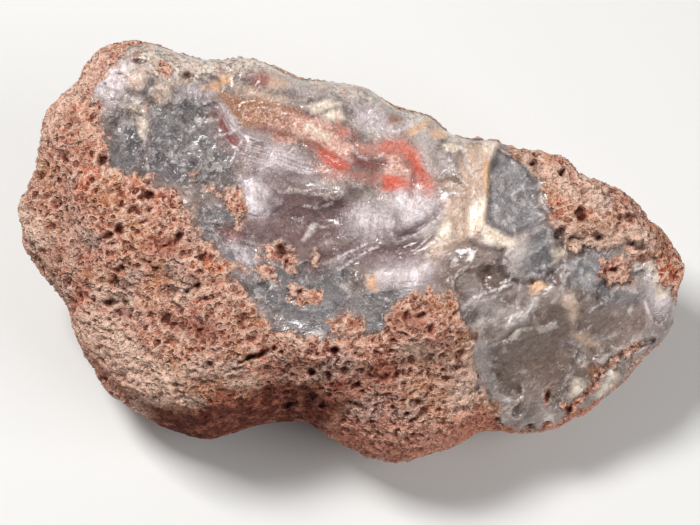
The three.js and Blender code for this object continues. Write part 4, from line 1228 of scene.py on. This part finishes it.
class Agate(Surface):
    """The broken chalcedony."""

    def __init__(self, tree, place):
        super().__init__(tree, place)
        self.ragged = self.math("SUBTRACT", self.pattern("ragged"), 0.5)
        self.fine = self.pattern("fine")
        self.grain = self.pattern("grain")
        self.clouds = self.pattern("clouds")
        self.broken = self.between(self.pattern("broken"), 0.5, 0.6)
        self.wandering = self.bent(place, scale=0.8, amount=0.9)
        self.chip_height, self.chip_number = self.shards(self.wandering, 0.8)
        self.speck_height, self.speck_number = self.shards(self.wandering, 2.0)
        self.across = self.attribute("across")
        self.frost = self.marked("frost")
        swept = self.bent(self.flat_place(self.attribute("ring"), self.attribute("sweep")), 0.3, 1.6)
        self.streaks = self.pattern("streaks", self.stretched(swept, (1.0, 0.34, 1.0)))
        self.veins = self.threads(self.streaks, level=0.5, width=0.02)
        self.hairs = self.threads(self.fine, level=0.5, width=0.022)
        smooth = self.highest(self.attribute("smoky"), self.math("SUBTRACT", self.attribute("mauve"), 0.5))
        self.quiet = self.between(smooth, -1.5, 1.5, 1.0, 0.2)
        self.white = self.marked("white")
        self.cream = self.marked("cream")
        self.sugary = self.marked("druse")
        self.pale = self.highest(self.white, self.cream, self.marked("tan cracks"))
        self.lines = self.times(self.marked("line"), self.between(self.fine, 0.4, 0.5))

        self.lay_ground()
        self.lay_scars()
        self.lay_grain()
        self.lay_crust()
        self.lay_growth()
        self.lay_marks("rose", "amber")
        self.lay(self.sugary, self.druse())
        self.lay_whites()
        self.lay_reds()
        self.lay_marks("maroon", "orange")
        # White threads, partly painted glints.
        self.lay(self.lines, "white")

    def lay_ground(self):
        """Greys of the bare chalcedony, and the broad patches of colour in it."""
        self.colour = self.mix(self.between(self.clouds, 0.35, 0.65), "grey_dark_and_shade", "grey")
        self.lay_marks(*BROAD_MARKS)
        self.darken(self.between(self.pattern("shadows"), 0.56, 0.36, most=0.16), "grey_dark_and_shade")

    def lay_scars(self):
        """The tone of each scar, and white veins, haze, hairs, chips and specks on the frosted parts."""
        tone = self.attribute("tone")
        self.lay(self.between(tone, 0.0, 1.2, most=0.16), "frost")
        self.darken(self.between(tone, 0.0, -1.2, most=0.24), "grey_dark_and_shade")
        self.lay(self.times(self.veins, self.broken, self.grown(self.frost, 0.55, 0.85)), "frost")
        cloudy = self.between(self.clouds, 0.42, 0.6, 0.04, 0.2)
        self.lay(self.times(self.between(self.streaks, 0.5, 0.72), cloudy, self.quiet), "frost")
        self.lay(self.times(self.hairs, self.quiet, self.grown(self.frost, 0.12, 0.42)), "white")
        chips = self.between(self.chip_number, 0.9, 0.93)
        self.lay(self.times(chips, self.grown(self.frost, 0.04, 0.4)), "frost")
        specks = self.between(self.speck_number, 0.9, 0.94)
        self.lay(self.times(specks, self.grown(self.frost, 0.08, 0.36)), "white")

    def lay_grain(self):
        """Bright edges, painted shade in the hollows, and fine grain."""
        crest = self.attribute("crest")
        edges = self.between(crest, 0.04, 0.18, most=0.45)
        self.lay(self.times(edges, self.between(self.fine, 0.38, 0.58)), "frost")
        # Painted shade in the hollows of the broken face.
        self.darken(self.between(crest, -0.04, -0.24, most=0.35), "grey_dark_and_shade")
        self.lay(self.times(self.between(self.grain, 0.58, 0.74, most=0.3), self.quiet), "white")
        self.darken(self.times(self.between(self.grain, 0.44, 0.28, most=0.3), self.quiet), "grey_dark_and_shade")

    def lay_crust(self):
        """Cream and brown mottling where the agate thins out into the rind."""
        crust = self.marked("crust")
        self.lay(self.times(crust, self.between(self.pattern("mottle"), 0.4, 0.56), 0.65), "cream")
        self.lay(self.times(crust, self.between(self.pattern("brown"), 0.53, 0.62, most=0.6)), "rind")

    def lay_growth(self):
        """Fine layers of growth that run along the band line."""
        band = self.plus(self.attribute("band"), (self.ragged, 0.5))
        growth = self.pattern("growth", self.flat_place(band, self.times(self.across, 0.06)))
        near = self.times(self.between(band, 5.0, 2.0), self.marked("lavender growth"))
        self.lay(self.times(self.between(growth, 0.46, 0.62), near, 0.55), "frost")
        self.darken(self.times(self.between(growth, 0.5, 0.36), near, 0.35), "grey_dark_and_shade")

    def druse(self):
        """Colour of the sugary crystals, amber at the left and pink at the right, with painted shade between
        them.
        """
        hollows, lips = self.bubbles(self.wandering, 0.85)
        small_hollows, small_lips = self.bubbles(self.wandering, 1.7)
        druse = self.mix(self.between(self.across, -19.0, -5.0), "amber", "pink")
        # Painted shade: rose in the hollows between the crystals.
        druse = self.mix(self.times(self.highest(hollows, small_hollows), 0.5), druse, "rose")
        crystals = self.highest(lips, self.times(small_lips, 0.7), self.between(self.grain, 0.56, 0.68))
        sugar = self.times(
            crystals,
            self.between(self.fine, 0.4, 0.56, 0.15, 0.95),
            self.between(self.broken, 0.0, 0.6, 1.0, 0.6),
            self.between(self.across, -20.0, -10.0, 0.65, 1.0),
        )
        return self.mix(sugar, druse, "druse")

    def lay_whites(self):
        """Milky white and cream patches with thin cracks, and the bright flakes."""
        seen = self.flat_place(self.across, self.attribute("up"))
        fibres = self.pattern("fibres", self.stretched(seen, (1.8, 0.6, 1.0)))
        slabs = self.pattern("slabs", self.stretched(seen, (0.7, 0.26, 1.0)))
        milky = self.between(self.math("ADD", slabs, fibres), 0.76, 1.08, 0.15, 1.0)
        self.lay(self.marked("white halo"), "lavender")
        self.lay(self.white, self.mix(milky, "haze", "white"))
        self.lay(self.cream, self.mix(milky, "tan", "cream"))
        cracks = self.threads(slabs, level=0.48, width=0.022, most=0.6)
        self.darken(self.times(cracks, self.pale), "tan")
        self.lay(self.marked("flake"), "frost")

    def lay_reds(self):
        """Grainy red and coral veins, in a pink glow."""
        grainy = self.between(self.math("ADD", self.fine, self.grain), 0.7, 1.1, 0.35, 0.95)
        self.lay(self.marked("coral glow"), "pink")
        for name in ("coral", "red"):
            self.lay(self.times(self.marked(name), grainy), name)

    def looks(self):
        """Colour, roughness, gloss and height."""
        chipping = self.grown(self.frost, 0.11, 0.77)
        chips = self.times(self.chip_height, chipping)
        height = self.plus(
            self.math("ADD", chips, self.times(self.speck_height, chipping)),
            (self.veins, 0.09),
            (self.times(self.hairs, self.frost), 0.06),
            (self.lines, 0.12),
            (self.fine, 0.06),
            (self.streaks, 0.22),
            (self.grain, 0.025),
        )
        dull = self.highest(self.pale, self.sugary)
        roughness = self.plus(self.between(self.fine, 0.3, 0.7, 0.12, 0.25), (dull, 0.2))
        return self.colour, roughness, self.between(dull, 0.0, 0.9, 0.3, 0.08), height


class Rind(Surface):
    """The pitted volcanic rind."""

    def __init__(self, tree, place):
        super().__init__(tree, place)
        self.middle = self.pattern("rind middle")
        self.fine = self.pattern("rind fine")
        self.ragged = self.math("SUBTRACT", self.middle, 0.5)
        bent = self.bent(self.stretched(place, (0.85, 1.0, 1.0)), scale=0.9, amount=0.5)
        self.large_bubble, self.large_lip = self.bubbles(bent, 0.72)
        self.small_bubble, self.small_lip = self.bubbles(bent, 1.5)

        self.lay_shades()
        self.lay_bubbles()
        self.lay_relief()
        self.lay_weather()

    def lay_shades(self):
        """Brick red to tan, with redder, greyer and ochre parts, stains and ash."""
        shades = self.add("ShaderNodeSeparateColor", {"Color": self.pattern("rind shades", output="Color")})
        red, grey, ochre = shades.outputs
        self.colour = self.mix(self.between(self.middle, 0.36, 0.62), "rind", "rind_tan")
        self.lay(self.between(red, 0.5, 0.62, most=0.6), "rind_red")
        self.lay(self.between(grey, 0.52, 0.64, most=0.6), "rind_grey")
        self.lay(self.between(ochre, 0.5, 0.62, most=0.6), "rind_ochre")
        self.lay_marks("stain")
        self.lay(self.marked("ash"), "rind_grey")

    def lay_bubbles(self):
        """Gas bubbles darkened as painted shade, with their lips paled as a painted highlight."""
        patchy = self.between(self.pattern("rind patches"), 0.4, 0.52, 0.35, 1.0)
        # Painted shade inside the gas bubbles.
        for bubble in (self.large_bubble, self.small_bubble):
            self.lay(self.times(bubble, patchy, 0.6), "rind_dark_and_shade")
        self.lay(self.between(self.fine, 0.45, 0.3, most=0.6), "rind_dark_and_shade")
        # Painted highlight on the bubbles' lips, where the light catches them.
        lips = self.highest(self.large_lip, self.times(self.small_lip, 0.8))
        self.lay(self.times(lips, self.between(self.fine, 0.4, 0.56), 0.65), "rind_cream_and_highlight")
        self.lay(self.between(self.fine, 0.6, 0.72, most=0.6), "rind_cream_and_highlight")

    def lay_relief(self):
        """Pale crests, partly cream crust and partly a painted highlight, and painted shade in the hollows
        and pits.
        """
        crest = self.attribute("crest")
        # Pale crests: partly cream crust, partly a painted highlight.
        self.lay(self.between(crest, 0.05, 0.28, most=0.6), "rind_cream_and_highlight")
        # Painted shade in the hollows and pits.
        self.lay(self.between(crest, -0.04, -0.35, most=0.85), "rind_dark_and_shade")
        self.lay(self.between(self.attribute("pit"), 0.2, 0.9, most=0.6), "rind_dark_and_shade")

    def lay_weather(self):
        """Warm and pale parts, a painted highlight, painted shade in recesses and underneath, and the pale
        rim round the agate.
        """
        self.lay(self.marked("warm"), "rind_warm")
        # Pale parts of the rind, and a painted highlight along its lower left rim.
        pale_grain = self.between(self.fine, 0.36, 0.52, 0.25, 0.85)
        self.lay(self.times(self.marked("pale"), pale_grain), "rind_cream_and_highlight")
        # Painted shade in the rind's recesses.
        self.darken(self.marked("recess_shade"), "rind")
        # Painted shade: darker red where the rind turns down, away from the light.
        underside_shade_colour = self.mix(self.between(self.middle, 0.45, 0.7), "underside_shade", "rind")
        self.lay(self.marked("underside_shade"), underside_shade_colour)
        rim = self.between(self.attribute("rind"), 0.9, 0.1)
        self.lay(self.times(rim, self.between(self.fine, 0.4, 0.6), 0.5), "rind_cream_and_highlight")

    def looks(self):
        """Colour, roughness, gloss and height."""
        height = self.plus(
            self.times(self.large_lip, 0.12),
            (self.large_bubble, -0.45),
            (self.small_bubble, -0.22),
            (self.fine, 0.45),
        )
        return self.colour, RIND_ROUGHNESS, 0.0, height


def stone_group():
    """One group for the whole surface: where the rind gives way to bare agate, and each one's looks."""
    group = bpy.data.node_groups.new("stone_surface", "ShaderNodeTree")
    group.interface.new_socket("Colour", in_out="OUTPUT", socket_type="NodeSocketColor")
    for name in ("Roughness", "Gloss", "Height"):
        group.interface.new_socket(name, in_out="OUTPUT", socket_type="NodeSocketFloat")
    tree = Tree(group)
    coordinates = tree.add("ShaderNodeTexCoord").outputs["Object"]
    place_mm = tree.stretched(coordinates, (1 / MM, 1 / MM, 1 / MM))
    agate_colour, *agate_looks = Agate(group, place_mm).looks()
    rind = Rind(group, place_mm)
    rind_colour, *rind_looks = rind.looks()

    frayed = tree.math("SUBTRACT", rind.pattern("frayed"), 0.5)
    edge = tree.plus(tree.attribute("rind"), (frayed, RIND_FRAY))
    is_rind = tree.between(edge, *RIND_TURN)
    colour = tree.mix(is_rind, agate_colour, rind_colour)
    gritty = tree.between(is_rind, 0.0, 1.0, *GRIT_SHARES)
    colour = tree.mix(gritty, colour, tree.between(rind.pattern("grit"), 0.28, 0.72), "OVERLAY")
    # Painted shade inside the deep holes.
    colour = tree.mix(tree.times(tree.attribute("hole"), HOLE_SHADE), colour, "hole")

    out = tree.add("NodeGroupOutput", {"Colour": colour})
    for name, on_agate, on_rind in zip(("Roughness", "Gloss", "Height"), agate_looks, rind_looks):
        value = tree.add("ShaderNodeMix", {"Factor": is_rind, "A": on_agate, "B": on_rind})
        tree.fill(out, {name: value.outputs[0]})
    return group


def stone_material(name, group, subsurface, specular):
    material = bpy.data.materials.new(name)
    material.use_nodes = True
    tree = Tree(material.node_tree)
    surface = tree.add("ShaderNodeGroup", node_tree=group).outputs
    bump = tree.add("ShaderNodeBump", {"Height": surface["Height"], "Strength": 1.0, "Distance": MM})
    looks = {
        "Base Color": surface["Colour"],
        "Roughness": surface["Roughness"],
        "Coat Weight": surface["Gloss"],
        "Coat Roughness": GLOSS_ROUGHNESS,
        "Normal": bump.outputs["Normal"],
        "Subsurface Weight": subsurface,
        "Subsurface Radius": GLOW_RADIUS,
        "Subsurface Scale": GLOW_MM * MM,
        "Specular IOR Level": specular,
        "IOR": QUARTZ_IOR,
    }
    tree.fill(material.node_tree.nodes["Principled BSDF"], looks)
    return material


def dress_stone(stone):
    """Give each face of the stone the rind's or the chalcedony's material, whichever it mostly is."""
    group = stone_group()
    mesh = stone.data
    mesh.materials.append(stone_material("volcanic_rind", group, subsurface=0.0, specular=0.12))
    mesh.materials.append(stone_material("chalcedony", group, subsurface=0.25, specular=0.45))
    rind = read(mesh.attributes["rind"].data, "value")
    at_corners = rind[read(mesh.loops, "vertex_index", kind=np.int32)]
    starts = read(mesh.polygons, "loop_start", kind=np.int32)
    totals = read(mesh.polygons, "loop_total", kind=np.int32)
    mean = np.add.reduceat(at_corners, starts) / totals
    mesh.polygons.foreach_set("material_index", (mean < 0).astype(np.int32))
    mesh.polygons.foreach_set("use_smooth", np.ones(len(starts), bool))


# ---------------------------------------------------------------------------------------------------
# Settings, operators and panel
# ---------------------------------------------------------------------------------------------------
FLOOR_SIZE = 6.0  # metres
FLOOR_ROUGHNESS = 0.8
STONE_MIDDLE = (0.0, 0.0, 0.02)  # what the lights are aimed at, in metres
KEY_PLACE_MM = (-190, 250, 370)  # places of the lights are in the face frame
KEY_SIZE_MM = 130
FILL_PLACE_MM = (320, -60, 300)
FILL_SIZE_MM = 300
SKY_COLOUR = (0.9, 0.95, 1.0, 1)
SKY_STRENGTH = 0.14
LENS_MM = 110
SENSOR_MM = 36
VIEW_RANGE = (0.01, 20)  # nearest and furthest that the camera sees, in metres


def colour_setting(colour, name, description):
    return bpy.props.FloatVectorProperty(
        name=name, description=description, subtype="COLOR", size=3, min=0, max=1,
        default=COLOURS[colour][:3],
    )


def height_setting(height_mm, name, description):
    return bpy.props.FloatProperty(
        name=name, description=description, unit="LENGTH", min=0, precision=5,
        default=height_mm * MM,
    )


class AgateStoneSettings(bpy.types.PropertyGroup):
    rind: colour_setting("rind", "Rind", "Main colour of the volcanic rind")
    # the dark rind colour also paints the shade in the rind's bubbles, hollows and pits
    rind_dark_and_shade: colour_setting("rind_dark_and_shade", "Dark Rind", "Colour of the rind in its pits")
    grey: colour_setting("grey", "Grey Agate", "Ground colour of the broken face")
    lavender: colour_setting("lavender", "Lavender Agate", "Colour of the pale, clearer chalcedony")
    red: colour_setting("red", "Red Vein", "Colour of the jasper-red patches and veins")
    cream: colour_setting("cream", "Cream Band", "Colour of the pale bands and of the crust")
    lump_height: height_setting(0.6, "Lump Height", "Height of the broad lumps of the rind")
    ridge_height: height_setting(0.75, "Ridge Height", "Height of the ridges between the lumps")
    pit_depth: height_setting(1.0, "Pit Depth", "Depth of the deepest gas pits in the rind")
    rind_step: height_setting(0.55, "Rind Step", "How far the rind stands above the agate beside it")
    ripple_height: height_setting(0.1, "Ripple Height", "Height of the faint ripples round the blow")
    hole_depth: height_setting(1.2, "Hole Depth", "Depth of the dark holes in the broken face")


STONE_COLOURS = ("rind", "rind_dark_and_shade", "grey", "lavender", "red", "cream")


class AgateStageSettings(bpy.types.PropertyGroup):
    floor_colour: bpy.props.FloatVectorProperty(
        name="Floor Colour", description="Colour of the floor", subtype="COLOR", size=3, min=0, max=1,
        default=(0.72, 0.71, 0.69),
    )
    key_power: bpy.props.FloatProperty(
        name="Key Light", description="Power of the large light at the upper left", default=2.6, min=0,
        unit="POWER",
    )
    fill_power: bpy.props.FloatProperty(
        name="Fill Light", description="Power of the soft light at the right", default=1.1, min=0,
        unit="POWER",
    )


class AGATE_OT_stone(bpy.types.Operator):
    """Build the stone: its broken face, its rind and their finish"""

    bl_idname = "agate.stone"
    bl_label = "Build Stone"

    def execute(self, context):
        settings = context.scene.agate_stone
        for name in STONE_COLOURS:
            COLOURS[name] = (*getattr(settings, name), 1.0)
        stone = even_copy_of_stone()
        shape_stone(stone, settings)
        dress_stone(stone)
        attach(stone, "root")
        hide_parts("agate_half")
        return {"FINISHED"}


def lay_floor(colour):
    bpy.ops.object.select_all(action="DESELECT")
    bpy.ops.mesh.primitive_plane_add(size=FLOOR_SIZE, location=(0, 0, 0))
    floor = bpy.context.active_object
    floor.name = "floor"
    material = bpy.data.materials.new("floor_paint")
    material.use_nodes = True
    paint = {"Base Color": (*colour, 1), "Roughness": FLOOR_ROUGHNESS}
    Tree(material.node_tree).fill(material.node_tree.nodes["Principled BSDF"], paint)
    floor.data.materials.append(material)


def area_light(name, place_mm, size_mm, power):
    """A square soft light at a place in the face frame, aimed at the stone."""
    data = bpy.data.lights.new(name, "AREA")
    data.energy = power
    data.size = size_mm * MM
    light = bpy.data.objects.new(name, data)
    bpy.context.scene.collection.objects.link(light)
    light.location = from_face(np.array([place_mm]))[0]
    light.rotation_euler = (Vector(STONE_MIDDLE) - light.location).to_track_quat("-Z", "Y").to_euler()


def set_sky():
    world = bpy.data.worlds.new("studio")
    world.use_nodes = True
    sky = {"Color": SKY_COLOUR, "Strength": SKY_STRENGTH}
    Tree(world.node_tree).fill(world.node_tree.nodes["Background"], sky)
    bpy.context.scene.world = world
    bpy.context.scene.view_settings.view_transform = "Standard"


def set_camera():
    """The eye that the marks are laid out for, looking straight down on the broken face."""
    data = bpy.data.cameras.new("camera")
    data.lens = LENS_MM
    data.sensor_width = SENSOR_MM
    data.clip_start, data.clip_end = VIEW_RANGE
    camera = bpy.data.objects.new("camera", data)
    bpy.context.scene.collection.objects.link(camera)
    eye = from_face(np.array([(*EYE_AIM_MM, EYE_DISTANCE_MM)]))[0]
    camera.matrix_world = Matrix.Translation(eye) @ Matrix(FACE_AXES.T.tolist()).to_4x4()
    bpy.context.scene.camera = camera


class AGATE_OT_stage(bpy.types.Operator):
    """Lay the pale floor and set the studio lights and the camera"""

    bl_idname = "agate.stage"
    bl_label = "Set Stage"

    def execute(self, context):
        settings = context.scene.agate_stage
        lay_floor(settings.floor_colour)
        area_light("key_light", KEY_PLACE_MM, KEY_SIZE_MM, settings.key_power)
        area_light("fill_light", FILL_PLACE_MM, FILL_SIZE_MM, settings.fill_power)
        set_sky()
        set_camera()
        return {"FINISHED"}


class AGATE_PT_panel(bpy.types.Panel):
    """Lists the steps that build the agate half"""

    bl_label = "Agate Half"
    bl_idname = "AGATE_PT_panel"
    bl_space_type = "VIEW_3D"
    bl_region_type = "UI"
    bl_category = "Agate"

    def draw(self, context):
        column = self.layout.column()
        steps = (
            (AGATE_OT_stone, AgateStoneSettings, context.scene.agate_stone),
            (AGATE_OT_stage, AgateStageSettings, context.scene.agate_stage),
        )
        for operator, group, settings in steps:
            column.operator(operator.bl_idname)
            for name in group.__annotations__:
                column.prop(settings, name)


CLASSES = (AgateStoneSettings, AgateStageSettings, AGATE_OT_stone, AGATE_OT_stage, AGATE_PT_panel)


def register():
    for cls in CLASSES:
        bpy.utils.register_class(cls)
    bpy.types.Scene.agate_stone = bpy.props.PointerProperty(type=AgateStoneSettings)
    bpy.types.Scene.agate_stage = bpy.props.PointerProperty(type=AgateStageSettings)


def unregister():
    del bpy.types.Scene.agate_stage
    del bpy.types.Scene.agate_stone
    for cls in reversed(CLASSES):
        bpy.utils.unregister_class(cls)


def main():
    register()
    bpy.ops.agate.stage()
    bpy.ops.agate.stone()


if __name__ == "__main__":
    main()
